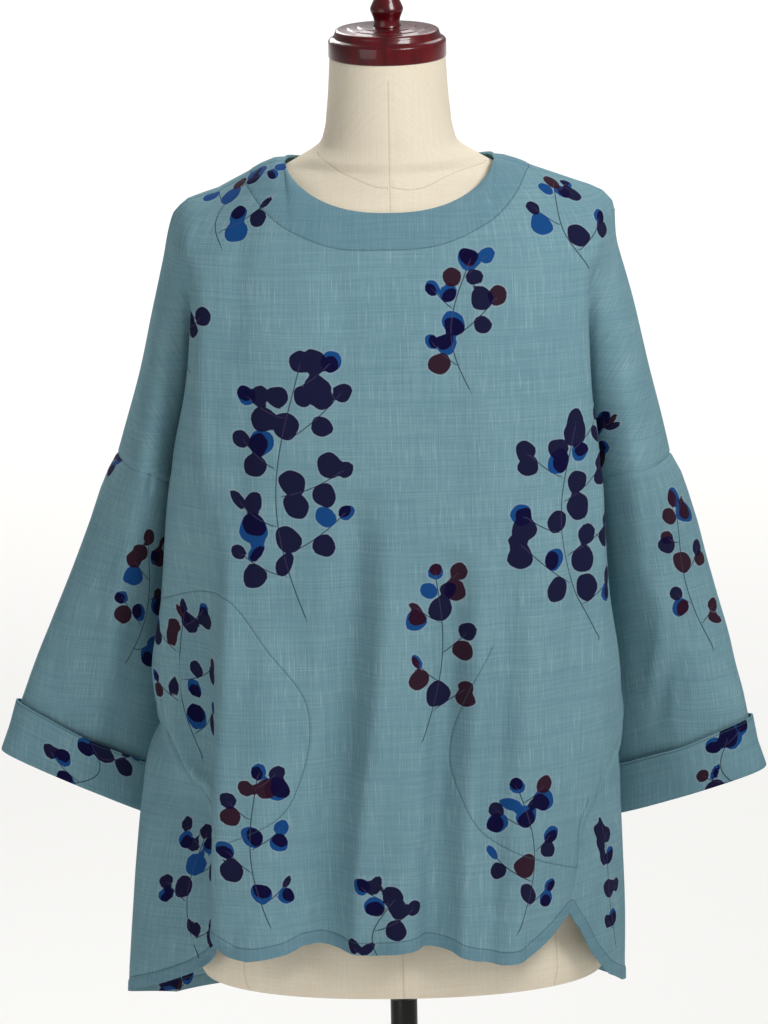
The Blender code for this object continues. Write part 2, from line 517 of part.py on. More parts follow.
    def yoke_point(self, u, share):
        """Points between the top edge, at share 0, and the roll line, at 1, as a curve over the shoulder."""
        top = self.top_point(u)
        roll = self.section_point(u, ROLL_Z)
        below = self.section_point(u, ROLL_Z - SLOPE_STEP)
        fall = top[..., 2] - roll[..., 2]
        lift = (roll - below) / SLOPE_STEP
        to_roll = roll + lift * (fall * ROLL_HANDLE)[..., None]
        over = np.interp(u, (0, 2, 9), (0.0, 1.0, 0.6))
        from_top = top + (roll - top) * TOP_HANDLE
        from_top[..., 1] += (roll[..., 1] - top[..., 1]) * TOP_HANDLE_DEPTH * over
        at_neck, at_seam = TOP_FALL[self.face]
        steep = at_neck * (1 - over) + at_seam * over
        from_top[..., 2] = top[..., 2] - fall * steep
        t = np.asarray(share, float)[..., None]
        return (
            top * (1 - t) ** 3
            + from_top * 3 * t * (1 - t) ** 2
            + to_roll * 3 * t * t * (1 - t)
            + roll * t**3
        )


def key_positions(intervals):
    """Key positions of the grid's columns, from 0 to the last key."""
    inside = [index + step for index, steps in enumerate(intervals) for step in steps]
    return np.array(inside + [len(intervals)])


def panel_grid(face):
    """The front or back as a grid of points, rows from the top edge to the hem, columns from left to right.

    The cells below the armhole seams, outside the side seams, are no part of it.
    """
    half_u = key_positions(BODY_STEPS + ARM_STEPS)
    halves = []
    for side in ("left", "right"):
        half = HalfPanel(face, side)
        share = np.linspace(0, 1, YOKE_ROWS + 1)[:-1, None] ** YOKE_ROW_POWER + 0 * half_u
        yoke = half.yoke_point(half_u + 0 * share, share)
        low = half.armhole_height(half_u)
        drop = np.linspace(0, 1, CHEST_ROWS + 1)[:, None]
        chest = half.section_point(half_u + 0 * drop, ROLL_Z + (low - ROLL_Z) * drop)
        body_u = np.minimum(half_u, len(BODY_STEPS))
        drop = np.linspace(0, 1, SKIRT_ROWS + 1)[1:, None]
        hem = half.hem_height(body_u)
        skirt = half.section_point(body_u + 0 * drop, UNDERARM_Z + (hem - UNDERARM_Z) * drop)
        halves.append(np.concatenate([yoke, chest, skirt]))
    left, right = halves
    points = np.concatenate([left[:, :0:-1], right], axis=1)
    cells = np.ones((len(points) - 1, points.shape[1] - 1), bool)
    cells[UNDERARM_ROW:, :ARM_COLUMNS] = False
    cells[UNDERARM_ROW:, -ARM_COLUMNS:] = False
    return points, cells


def grid_normals(points, cells, outward):
    """Unit normals at the grid's points, averaged from the cells that meet there."""
    a, b = points[:-1, :-1], points[:-1, 1:]
    c, d = points[1:, 1:], points[1:, :-1]
    face = np.cross(c - a, d - b)
    face *= cells[..., None]
    normals = np.zeros_like(points)
    for rows, columns in ((slice(None, -1), slice(None, -1)), (slice(None, -1), slice(1, None)),
                          (slice(1, None), slice(1, None)), (slice(1, None), slice(None, -1))):
        normals[rows, columns] += face
    length = np.linalg.norm(normals, axis=2, keepdims=True)
    return outward * normals / np.maximum(length, 1e-9)


def walled_mesh(name, points, normals, cells, wall):
    """A closed wall of even thickness along a grid of points, with its edges closed by strips."""
    rows, columns = points.shape[:2]
    index = np.arange(rows * columns).reshape(rows, columns)
    if np.allclose(points[:, 0], points[:, -1], atol=1e-7):
        index[:, -1] = index[:, 0]
    outer = (points + normals * wall / 2).reshape(-1, 3)
    inner = (points - normals * wall / 2).reshape(-1, 3)
    faces, open_edges = [], {}
    for row, column in zip(*np.nonzero(cells)):
        corners = (
            index[row, column], index[row + 1, column], index[row + 1, column + 1], index[row, column + 1]
        )
        faces.append(corners)
        for start, end in zip(corners, corners[1:] + corners[:1]):
            if open_edges.pop((end, start), None) is None:
                open_edges[start, end] = True
    shift = rows * columns
    walls = [tuple(corner + shift for corner in reversed(face)) for face in faces]
    strips = [(end, start, start + shift, end + shift) for start, end in open_edges]
    mesh = bpy.data.meshes.new(name)
    corners = [tuple(map(int, face)) for face in faces + walls + strips]
    mesh.from_pydata(np.vstack([outer, inner]).tolist(), [], corners)
    build = bmesh.new()
    build.from_mesh(mesh)
    bmesh.ops.delete(build, geom=[v for v in build.verts if not v.link_faces], context="VERTS")
    bmesh.ops.recalc_face_normals(build, faces=build.faces)
    build.to_mesh(mesh)
    build.free()
    return mesh


def edge_back(edge_points, inside_points, distance):
    """Edge points moved along the cloth, towards the points inside, by a distance."""
    along = inside_points - edge_points
    return edge_points + along / np.linalg.norm(along, axis=-1, keepdims=True) * distance


def open_seams(points):
    """Opens half of the seam gap along the shoulder, armhole and side seams of a panel."""
    moved = points.copy()
    arm, low = ARM_COLUMNS, UNDERARM_ROW
    centre, neck = points.shape[1] // 2, NECK_COLUMNS
    half = SEAM_GAP / 2
    for columns in (slice(0, centre - neck + 1), slice(centre + neck, None)):
        moved[0, columns] = edge_back(points[0, columns], points[1, columns], half)
    for edge, inside in ((0, 1), (-1, -2)):
        moved[1:low + 1, edge] = edge_back(points[1:low + 1, edge], points[1:low + 1, inside], half)
    for columns in (slice(1, arm), slice(-arm, -1)):
        moved[low, columns] = edge_back(points[low, columns], points[low - 1, columns], half)
    for edge, inside in ((arm, arm + 1), (-arm - 1, -arm - 2)):
        moved[low:, edge] = edge_back(points[low:, edge], points[low:, inside], half)
    return moved


def seam_mask(points):
    """The points of a panel that lie on a seam with the other panel."""
    mask = np.zeros(points.shape[:2], bool)
    centre = points.shape[1] // 2
    mask[0, :centre - NECK_COLUMNS + 1] = True
    mask[0, centre + NECK_COLUMNS:] = True
    mask[:UNDERARM_ROW + 1, [0, -1]] = True
    mask[UNDERARM_ROW:, [ARM_COLUMNS, -ARM_COLUMNS - 1]] = True
    return mask


def lift_mouths(points, normals):
    """Lifts the edge of the front along its side seams where a pocket opens."""
    for side, edge in (("left", ARM_COLUMNS), ("right", -ARM_COLUMNS - 1)):
        low, high = MOUTH_Z[side]
        inward = 1 if side == "left" else -1
        for step, share in enumerate(MOUTH_LIFT_SHARES):
            column = edge + inward * step
            open_share = np.clip((points[:, column, 2] - low) / (high - low), 0, 1)
            lift = MOUTH_LIFT * share * np.sin(np.pi * open_share)
            points[:, column] += normals[:, column] * lift[:, None]


def superellipse(angle, power):
    cos, sin = np.cos(angle), np.sin(angle)
    return np.sign(cos) * np.abs(cos) ** (2 / power), np.sign(sin) * np.abs(sin) ** (2 / power)


def sleeve_end_ring(side, shares):
    """The open end of a sleeve, a flat rounded ring, at shares of its length from the inner corner."""
    inner, outer = (np.array(corner) for corner in SLEEVE_ENDS[side])
    centre, across = (inner + outer) / 2, (outer - inner) / 2
    depth = np.cross(across, (0, 0, 1.0))
    depth *= SLEEVE_END_HALF_DEPTH / np.linalg.norm(depth)
    if depth[1] > 0:
        depth = -depth
    angle = np.linspace(np.pi, -np.pi, 361)
    along, deep = superellipse(angle, SLEEVE_END_POWER)
    ring = centre + along[:, None] * across + deep[:, None] * depth
    length = np.concatenate([[0], np.cumsum(np.linalg.norm(np.diff(ring, axis=0), axis=1))])
    reach = np.asarray(shares) * length[-1]
    return np.column_stack([np.interp(reach, length, ring[:, axis]) for axis in range(3)])


def armhole_loop(side, front_row, back_row):
    """The values of the lowest chest row of both panels, from the underarm by the front round to it again."""
    arm = ARM_COLUMNS
    if side == "right":
        return np.concatenate([front_row[-arm - 1:], back_row[-2:-arm - 2:-1]])
    return np.concatenate([front_row[arm::-1], back_row[1:arm + 1]])


def sleeve_grid(side, front, back):
    """A sleeve as a grid: rows from the armhole to its end, columns round it from the underarm by the front."""
    ring = armhole_loop(side, front[UNDERARM_ROW], back[UNDERARM_ROW])
    length = np.concatenate([[0], np.cumsum(np.linalg.norm(np.diff(ring, axis=0), axis=1))])
    end = sleeve_end_ring(side, length / length[-1])
    share = np.linspace(0, 1, SLEEVE_ROWS + 1)[:, None, None]
    points = ring * (1 - share) + end * share
    outward = points - points[:, :-1].mean(axis=1, keepdims=True)
    outward[..., 2] = 0
    outward /= np.linalg.norm(outward, axis=2, keepdims=True)
    facing = outward[..., :1] * (1 if side == "right" else -1)
    bow = np.interp(share, [row.share for row in SLEEVE_BOWS], [getattr(row, side) for row in SLEEVE_BOWS])
    hollow = SLEEVE_INNER_HOLLOW * np.sin(share * np.pi) ** 0.5
    return points + outward * (np.maximum(facing, 0) * bow - np.maximum(-facing, 0) * hollow)


def ring_normals(points):
    """Outward unit normals of a grid whose last column repeats its first."""
    cells = np.ones((len(points) - 1, points.shape[1] - 1), bool)
    normals = grid_normals(points, cells, 1.0)
    joined = normals[:, 0] + normals[:, -1]
    normals[:, 0] = normals[:, -1] = joined / np.linalg.norm(joined, axis=1, keepdims=True)
    outward = points - points[:, :-1].mean(axis=1, keepdims=True)
    return normals if (normals * outward).sum() > 0 else -normals


def along_sleeve(sleeve, distance):
    """Ring of points at a distance up the sleeve from its end."""
    run = np.linalg.norm(np.diff(sleeve[::-1], axis=0), axis=2)
    reach = np.vstack([np.zeros(run.shape[1]), np.cumsum(run, axis=0)])
    upward = sleeve[::-1]
    return np.array([
        [np.interp(distance, reach[:, column], upward[:, column, axis]) for axis in range(3)]
        for column in range(sleeve.shape[1])
    ])


def cuff_grid(sleeve):
    """A turned-up cuff, from the end of the sleeve, round the lower fold and up outside it to its edge."""
    rings = np.array([along_sleeve(sleeve, row.up) for row in CUFF_ROWS])
    return rings + cuff_outward(sleeve) * np.array([row.out for row in CUFF_ROWS])[:, None, None]


def cuff_outward(sleeve):
    """Outward unit normals round the end of a sleeve."""
    return ring_normals(np.array([along_sleeve(sleeve, up) for up in (0.0, CUFF_HEIGHT)]))[0]


def cuff_wall_normals(sleeve):
    """Normals of the cuff that turn with it round its lower fold."""
    along = along_sleeve(sleeve, 0.0) - along_sleeve(sleeve, CUFF_HEIGHT)
    along /= np.linalg.norm(along, axis=1, keepdims=True)
    turns = np.radians([row.turn for row in CUFF_ROWS])
    return np.array([along * np.cos(turn) + cuff_outward(sleeve) * np.sin(turn) for turn in turns])


def finish_material(finish):
    material = bpy.data.materials.new(finish.name)
    material.use_nodes = True
    shader = material.node_tree.nodes["Principled BSDF"]
    shader.inputs["Base Color"].default_value = (*finish.colour, 1.0)
    shader.inputs["Roughness"].default_value = finish.roughness
    shader.inputs["Metallic"].default_value = finish.metallic
    return material


def add_object(name, mesh, finish, location=(0.0, 0.0, 0.0)):
    piece = bpy.data.objects.new(name, mesh)
    piece.location = location
    mesh.materials.append(finish_material(finish))
    mesh.shade_smooth()
    mesh.set_sharp_from_angle(angle=SHARP_ANGLE)
    COLLECTION.objects.link(piece)
    return piece


def add_turned(name, outline, foot_z, finish):
    """A turned piece: its outline swept round the Z axis by a Screw modifier."""
    build = bmesh.new()
    corners = [build.verts.new((radius, 0.0, height)) for radius, height in outline]
    for start, end in zip(corners, corners[1:]):
        build.edges.new((start, end))
    mesh = bpy.data.meshes.new(name)
    build.to_mesh(mesh)
    build.free()
    piece = add_object(name, mesh, finish, (0.0, 0.0, foot_z))
    screw = piece.modifiers.new("turned", "SCREW")
    screw.axis = "Z"
    screw.steps = screw.render_steps = TURNED_STEPS
    screw.use_merge_vertices = True
    screw.merge_threshold = TURNED_MERGE
    screw.use_smooth_shade = True
    return piece


def add_form():
    """The torso and neck of the dress form, its shoulders just under the cloth's shoulder line."""
    angle = np.linspace(0, 2 * np.pi, FORM_SIDES, endpoint=False)
    build = bmesh.new()
    rings = []
    for section in FORM_SECTIONS + FORM_SHOULDERS + FORM_NECK:
        along, deep = superellipse(angle, section.power)
        depth = np.where(deep < 0, section.front, section.back)
        ring = zip(along * section.half_width, deep * depth)
        rings.append([build.verts.new((x, y, section.z)) for x, y in ring])
    for low, high in zip(rings, rings[1:]):
        for k in range(FORM_SIDES):
            after = (k + 1) % FORM_SIDES
            build.faces.new((low[k], low[after], high[after], high[k]))
    build.faces.new(rings[0][::-1])
    build.faces.new(rings[-1])
    mesh = bpy.data.meshes.new("form_body")
    build.to_mesh(mesh)
    build.free()
    return add_object("form_body", mesh, LINEN)


def add_pole(foot_z, head_z):
    bpy.ops.mesh.primitive_cylinder_add(
        vertices=POLE_SIDES, radius=POLE_RADIUS, depth=head_z - foot_z,
        location=(0.0, 0.0, (foot_z + head_z) / 2))
    piece = bpy.context.object
    piece.name = piece.data.name = "stand_pole"
    piece.data.materials.append(finish_material(BLACK_STEEL))
    piece.data.shade_smooth()
    piece.data.set_sharp_from_angle(angle=SHARP_ANGLE)
    for collection in list(piece.users_collection):
        collection.objects.unlink(piece)
    COLLECTION.objects.link(piece)


def add_stand():
    add_turned("neck_cap", CAP_OUTLINE, FORM_TOP_Z + PART_GAP, LACQUER)
    finial_z = FORM_TOP_Z + CAP_OUTLINE[0][1] + 2 * PART_GAP
    add_turned("finial", FINIAL_OUTLINE, finial_z, LACQUER)
    socket_z = FORM_BOTTOM_Z - SOCKET_LENGTH - PART_GAP
    add_turned("stand_socket", SOCKET_OUTLINE, socket_z, BLACK_STEEL)
    add_pole(BASE_OUTLINE[0][1] + PART_GAP, socket_z - PART_GAP)
    add_turned("stand_base", BASE_OUTLINE, 0.0, BLACK_STEEL)


def add_blouse():
    (front, cells), (back, _) = panel_grid("front"), panel_grid("back")
    sleeves = {side: sleeve_grid(side, front, back) for side in ("right", "left")}
    normals = {"front": grid_normals(front, cells, -1.0), "back": grid_normals(back, cells, 1.0)}
    mask = seam_mask(front)
    shared = normals["front"] + normals["back"]
    shared /= np.maximum(np.linalg.norm(shared, axis=2, keepdims=True), 1e-9)
    for face, points in (("front", front), ("back", back)):
        normals[face][mask] = shared[mask]
        normals[face][UNDERARM_ROW, [ARM_COLUMNS, -ARM_COLUMNS - 1]] = (0, 0, -1)
        opened = open_seams(points)
        if face == "front":
            lift_mouths(opened, normals[face])
        mesh = walled_mesh(face, opened, normals[face], cells, CLOTH_WALL)
        add_object(face, mesh, CLOTH)
    for side, sleeve in sleeves.items():
        sleeve_normals = ring_normals(sleeve)
        sleeve_normals[0] = armhole_loop(side, normals["front"][UNDERARM_ROW], normals["back"][UNDERARM_ROW])
        cuff = cuff_grid(sleeve)
        body = sleeve.copy()
        body[0] = edge_back(sleeve[0], sleeve[1], SEAM_GAP / 2)
        body[0, [0, -1], 2] -= UNDERARM_GAP
        body[0, [0, -1], 0] += CLOTH_WALL * (1 if side == "right" else -1)
        body[-1] = along_sleeve(sleeve, SLEEVE_END_LIFT)
        ring_cells = np.ones((len(sleeve) - 1, sleeve.shape[1] - 1), bool)
        mesh = walled_mesh(f"sleeve_{side}", body, sleeve_normals, ring_cells, CLOTH_WALL)
        add_object(f"sleeve_{side}", mesh, CLOTH)
        cuff_cells = np.ones((len(cuff) - 1, cuff.shape[1] - 1), bool)
        mesh = walled_mesh(f"cuff_{side}", cuff, cuff_wall_normals(sleeve), cuff_cells, CLOTH_WALL)
        add_object(f"cuff_{side}", mesh, CLOTH)


COLLECTION = bpy.data.collections.new("blouse_on_dress_form")
bpy.context.scene.collection.children.link(COLLECTION)
add_blouse()
add_form()
add_stand()
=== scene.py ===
"""Looks of a pullover blouse of woven cloth, on a limbless dress form with its stand.

Metres, +Z up, the front of the blouse faces -Y and +X is the viewer's right. The cloth pieces are thin shells
laid through the same sections as the solids, with their folds, seams, hems, weave and printed leaf sprays.
"""

from __future__ import annotations

import logging
import math
import random
from dataclasses import dataclass
from enum import Enum
from typing import Iterable, NamedTuple, Sequence

import bmesh
import bpy
import numpy as np
from mathutils import Matrix, Vector

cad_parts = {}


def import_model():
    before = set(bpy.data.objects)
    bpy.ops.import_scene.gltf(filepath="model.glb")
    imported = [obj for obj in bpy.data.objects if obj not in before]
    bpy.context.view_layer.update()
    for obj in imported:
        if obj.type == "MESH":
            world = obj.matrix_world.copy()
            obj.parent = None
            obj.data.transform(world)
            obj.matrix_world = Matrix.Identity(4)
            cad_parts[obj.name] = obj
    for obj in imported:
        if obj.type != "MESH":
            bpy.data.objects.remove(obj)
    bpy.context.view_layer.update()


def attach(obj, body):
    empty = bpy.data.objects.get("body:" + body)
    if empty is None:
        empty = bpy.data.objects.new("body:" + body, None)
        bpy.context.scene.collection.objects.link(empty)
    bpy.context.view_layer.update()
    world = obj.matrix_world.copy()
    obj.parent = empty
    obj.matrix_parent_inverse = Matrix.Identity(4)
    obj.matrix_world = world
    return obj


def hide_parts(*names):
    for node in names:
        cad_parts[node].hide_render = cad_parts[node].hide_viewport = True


LOG = logging.getLogger("blouse")
BODY = "root"
Point = tuple[float, float]
Sockets = tuple[bpy.types.NodeSocket, bpy.types.NodeSocket]
Place = tuple[float, float, float]

# Heights of the garment
ROLL_Z = 1.300
UNDERARM_Z = 1.100
ARMHOLE_TOP_Z = {"right": 1.1240, "left": 1.1320}
SLIT_TOP_Z = 0.753

# Neck opening
NECK_HALF_WIDTH = 0.088
NECK_FRONT_DEPTH = 0.070
NECK_BACK_DEPTH = 0.066
NECK_POINT_Z = 1.3832
NECK_FRONT_DROP = 0.0379
NECK_BACK_DROP = 0.0165
NECK_SQUARENESS = 2.4
SHOULDER_SEAM_Y = -0.012
SHOULDER_SEAM_DROP = 0.002
NECK_DROP_POWER = 1.6
NECK_MID_SHARE = 0.42

# The cloth over the shoulder, from the top edge to the roll line
ROLL_HANDLE = 0.42
TOP_HANDLE = 0.33
TOP_HANDLE_DEPTH = 0.15
TOP_FALL = {"front": (0.33, 0.02), "back": (0.15, -0.10)}
SHOULDER_SEAM_FADE = 0.6
SLOPE_STEP = 0.004
CREASE_BLEND = 0.05

# Sleeves and cuffs
CUFF_HEIGHT = 0.048
CUFF_STAND_OFF = 0.0034
SLEEVE_END_LIFT = 0.005
SLEEVE_END_HALF_DEPTH = 0.024
SLEEVE_END_POWER = 2.3
SLEEVE_INNER_HOLLOW = 0.005

# Mouths of the pockets in the side seams
MOUTH_LIFT = 0.003
MOUTH_Z = {"right": (0.829, 0.910), "left": (0.842, 0.925)}

FORM_BOTTOM_Z = 0.6805
FORM_TOP_Z = 1.4676
SOCKET_LENGTH = 0.030
SOCKET_RADIUS = 0.017
POLE_RADIUS = 0.0115
BASE_RADIUS = 0.165
BASE_THICKNESS = 0.014
PART_GAP = 0.0003


class Section(NamedTuple):
    """A level section of half a panel: the (x, y) of each key line at height z."""

    z: float
    mid: Point
    bust: Point
    ridge: Point
    valley: Point
    fold: Point


class Centre(NamedTuple):
    """Depth of the front and back centre lines at height z."""

    z: float
    front: float
    back: float


class SidePoint(NamedTuple):
    """A point of the crease beside the sleeve, and below the underarm of the side seam."""

    z: float
    x: float
    y: float


class ArmSection(NamedTuple):
    """A level section of the dropped shoulder beyond the crease."""

    z: float
    inner: Point
    bulge: Point
    outer: Point


class ShoulderPoint(NamedTuple):
    """A point of the shoulder line."""

    x: float
    z: float


class HemPoint(NamedTuple):
    """Height of the hem at a key line."""

    key: float
    z: float


class SleeveEnd(NamedTuple):
    """The inner and outer corner of a sleeve's open end."""

    inner: tuple[float, float, float]
    outer: tuple[float, float, float]


class Bow(NamedTuple):
    """How far the sleeves' outer edges bow out at a share of their length."""

    share: float
    right: float
    left: float


class FormSection(NamedTuple):
    """A rounded outline of the dress form."""

    z: float
    half_width: float
    front: float
    back: float
    power: float


# Sections of the front, as (x, y) of each key line at height z. Right is +X. The fold is the edge where the
# body turns back beside the sleeve, and the ridge and valley are the hanging folds in front of it.
FRONT_RIGHT = (
    Section(1.3, (0.04, -0.089), (0.085, -0.087), (0.12, -0.08), (0.145, -0.071), (0.163, -0.062)),
    Section(1.255, (0.042, -0.107), (0.088, -0.105), (0.122, -0.097), (0.146, -0.087), (0.1625, -0.074)),
    Section(1.2, (0.043, -0.12), (0.09, -0.117), (0.124, -0.108), (0.147, -0.098), (0.1625, -0.084)),
    Section(1.15, (0.043, -0.126), (0.09, -0.121), (0.125, -0.112), (0.148, -0.102), (0.1646, -0.088)),
    Section(1.1, (0.044, -0.13), (0.091, -0.125), (0.126, -0.116), (0.15, -0.104), (0.1685, -0.085)),
    Section(1.02, (0.045, -0.136), (0.093, -0.131), (0.128, -0.121), (0.154, -0.106), (0.1767, -0.076)),
    Section(0.94, (0.046, -0.141), (0.094, -0.138), (0.13, -0.127), (0.158, -0.108), (0.185, -0.068)),
    Section(0.873, (0.046, -0.146), (0.094, -0.143), (0.131, -0.131), (0.154, -0.112), (0.172, -0.09)),
    Section(0.824, (0.045, -0.148), (0.092, -0.148), (0.126, -0.133), (0.142, -0.12), (0.153, -0.107)),
    Section(0.779, (0.044, -0.149), (0.088, -0.153), (0.118, -0.137), (0.132, -0.125), (0.141, -0.115)),
    Section(0.744, (0.042, -0.149), (0.084, -0.156), (0.11, -0.142), (0.123, -0.131), (0.132, -0.12)),
    Section(0.63, (0.04, -0.149), (0.08, -0.16), (0.104, -0.148), (0.116, -0.138), (0.125, -0.126)),
)
FRONT_LEFT = (
    Section(1.3, (-0.04, -0.089), (-0.085, -0.087), (-0.12, -0.08), (-0.147, -0.07), (-0.1655, -0.06)),
    Section(1.255, (-0.042, -0.106), (-0.088, -0.104), (-0.122, -0.096), (-0.15, -0.084), (-0.167, -0.07)),
    Section(1.2, (-0.043, -0.118), (-0.09, -0.115), (-0.124, -0.107), (-0.153, -0.094), (-0.1718, -0.076)),
    Section(1.15, (-0.043, -0.124), (-0.09, -0.12), (-0.126, -0.112), (-0.158, -0.096), (-0.182, -0.072)),
    Section(1.1, (-0.043, -0.128), (-0.091, -0.124), (-0.13, -0.117), (-0.16, -0.096), (-0.1893, -0.064)),
    Section(1.02, (-0.043, -0.133), (-0.093, -0.13), (-0.141, -0.122), (-0.16, -0.092), (-0.198, -0.052)),
    Section(0.94, (-0.044, -0.137), (-0.096, -0.138), (-0.147, -0.129), (-0.16, -0.09), (-0.205, -0.05)),
    Section(0.91, (-0.044, -0.138), (-0.097, -0.14), (-0.149, -0.131), (-0.16, -0.092), (-0.197, -0.06)),
    Section(0.88, (-0.045, -0.139), (-0.098, -0.143), (-0.151, -0.134), (-0.159, -0.098), (-0.176, -0.08)),
    Section(0.838, (-0.046, -0.14), (-0.1, -0.147), (-0.153, -0.137), (-0.158, -0.11), (-0.1592, -0.101)),
    Section(0.78, (-0.047, -0.14), (-0.1, -0.151), (-0.154, -0.14), (-0.158, -0.123), (-0.157, -0.11)),
    Section(0.741, (-0.048, -0.139), (-0.098, -0.153), (-0.1555, -0.141), (-0.159, -0.128), (-0.157, -0.115)),
    Section(0.63, (-0.048, -0.139), (-0.096, -0.154), (-0.157, -0.142), (-0.16, -0.13), (-0.157, -0.117)),
)

# The back, in the same way. Below the underarm its fold is the outermost line of the side.
BACK_RIGHT = (
    Section(1.3, (0.04, 0.097), (0.085, 0.094), (0.12, 0.085), (0.147, 0.072), (0.163, 0.06)),
    Section(1.255, (0.042, 0.107), (0.088, 0.104), (0.122, 0.094), (0.148, 0.08), (0.162, 0.066)),
    Section(1.2, (0.043, 0.113), (0.09, 0.109), (0.124, 0.098), (0.148, 0.084), (0.161, 0.069)),
    Section(1.15, (0.043, 0.117), (0.09, 0.112), (0.124, 0.1), (0.148, 0.085), (0.16, 0.067)),
    Section(1.1, (0.044, 0.121), (0.09, 0.115), (0.123, 0.102), (0.146, 0.085), (0.157, 0.06)),
    Section(1.02, (0.044, 0.128), (0.09, 0.12), (0.122, 0.105), (0.143, 0.083), (0.153, 0.048)),
    Section(0.94, (0.044, 0.134), (0.09, 0.125), (0.122, 0.107), (0.142, 0.08), (0.158, 0.036)),
    Section(0.873, (0.045, 0.14), (0.092, 0.13), (0.125, 0.11), (0.145, 0.078), (0.184, -0.022)),
    Section(0.824, (0.045, 0.144), (0.094, 0.134), (0.13, 0.112), (0.152, 0.076), (0.1858, -0.034)),
    Section(0.779, (0.046, 0.148), (0.096, 0.138), (0.136, 0.114), (0.162, 0.074), (0.1868, -0.036)),
    Section(0.744, (0.047, 0.151), (0.098, 0.141), (0.14, 0.116), (0.168, 0.073), (0.1872, -0.036)),
    Section(0.63, (0.05, 0.158), (0.103, 0.148), (0.15, 0.12), (0.177, 0.07), (0.185, -0.034)),
)
BACK_LEFT = (
    Section(1.3, (-0.04, 0.097), (-0.085, 0.094), (-0.12, 0.085), (-0.148, 0.072), (-0.1655, 0.058)),
    Section(1.255, (-0.042, 0.107), (-0.088, 0.104), (-0.122, 0.094), (-0.15, 0.079), (-0.1655, 0.062)),
    Section(1.2, (-0.043, 0.113), (-0.09, 0.109), (-0.124, 0.098), (-0.151, 0.082), (-0.166, 0.064)),
    Section(1.15, (-0.043, 0.117), (-0.09, 0.112), (-0.125, 0.1), (-0.152, 0.083), (-0.166, 0.06)),
    Section(1.1, (-0.044, 0.121), (-0.09, 0.115), (-0.125, 0.102), (-0.151, 0.084), (-0.165, 0.054)),
    Section(1.02, (-0.044, 0.127), (-0.09, 0.119), (-0.124, 0.104), (-0.15, 0.083), (-0.166, 0.044)),
    Section(0.94, (-0.044, 0.133), (-0.091, 0.124), (-0.126, 0.106), (-0.152, 0.08), (-0.18, 0.022)),
    Section(0.88, (-0.045, 0.138), (-0.093, 0.128), (-0.13, 0.108), (-0.156, 0.079), (-0.21, -0.022)),
    Section(0.838, (-0.045, 0.142), (-0.095, 0.131), (-0.135, 0.11), (-0.162, 0.078), (-0.2172, -0.032)),
    Section(0.78, (-0.046, 0.147), (-0.098, 0.136), (-0.143, 0.112), (-0.176, 0.076), (-0.2242, -0.03)),
    Section(0.741, (-0.047, 0.15), (-0.1, 0.139), (-0.148, 0.113), (-0.184, 0.075), (-0.2275, -0.028)),
    Section(0.63, (-0.05, 0.158), (-0.105, 0.147), (-0.158, 0.115), (-0.198, 0.072), (-0.237, -0.022)),
)

# The centre lines, and the side line. Above the underarm the side line is the bottom of the crease between
# body and sleeve, at y in front and -y behind. Below it, it is the side seam.
CENTRES = (
    Centre(1.3, -0.088, 0.096),
    Centre(1.255, -0.105, 0.106),
    Centre(1.2, -0.119, 0.112),
    Centre(1.15, -0.126, 0.116),
    Centre(1.1, -0.131, 0.12),
    Centre(1.02, -0.138, 0.128),
    Centre(0.94, -0.145, 0.136),
    Centre(0.873, -0.151, 0.142),
    Centre(0.8, -0.157, 0.149),
    Centre(0.744, -0.162, 0.155),
    Centre(0.63, -0.168, 0.165),
)
SIDE_RIGHT = (
    SidePoint(1.3, 0.172, -0.052),
    SidePoint(1.255, 0.164, -0.044),
    SidePoint(1.2, 0.159, -0.03),
    SidePoint(1.15, 0.159, -0.016),
    SidePoint(1.1, 0.162, 0.0),
    SidePoint(1.02, 0.161, -0.002),
    SidePoint(0.94, 0.18, -0.008),
    SidePoint(0.905, 0.1868, -0.02),
    SidePoint(0.875, 0.179, -0.048),
    SidePoint(0.857, 0.1666, -0.075),
    SidePoint(0.833, 0.1536, -0.095),
    SidePoint(0.788, 0.1487, -0.104),
    SidePoint(SLIT_TOP_Z, 0.1404, -0.11),
    SidePoint(0.63, 0.133, -0.118),
)
SIDE_LEFT = (
    SidePoint(1.3, -0.172, -0.05),
    SidePoint(1.255, -0.167, -0.042),
    SidePoint(1.2, -0.165, -0.03),
    SidePoint(1.15, -0.168, -0.016),
    SidePoint(1.1, -0.172, 0.0),
    SidePoint(1.02, -0.174, -0.002),
    SidePoint(0.945, -0.2035, -0.006),
    SidePoint(0.922, -0.2043, -0.024),
    SidePoint(0.892, -0.193, -0.055),
    SidePoint(0.876, -0.1795, -0.074),
    SidePoint(0.86, -0.1688, -0.083),
    SidePoint(0.847, -0.1607, -0.09),
    SidePoint(0.809, -0.1565, -0.096),
    SidePoint(SLIT_TOP_Z, -0.1545, -0.101),
    SidePoint(0.63, -0.153, -0.105),
)

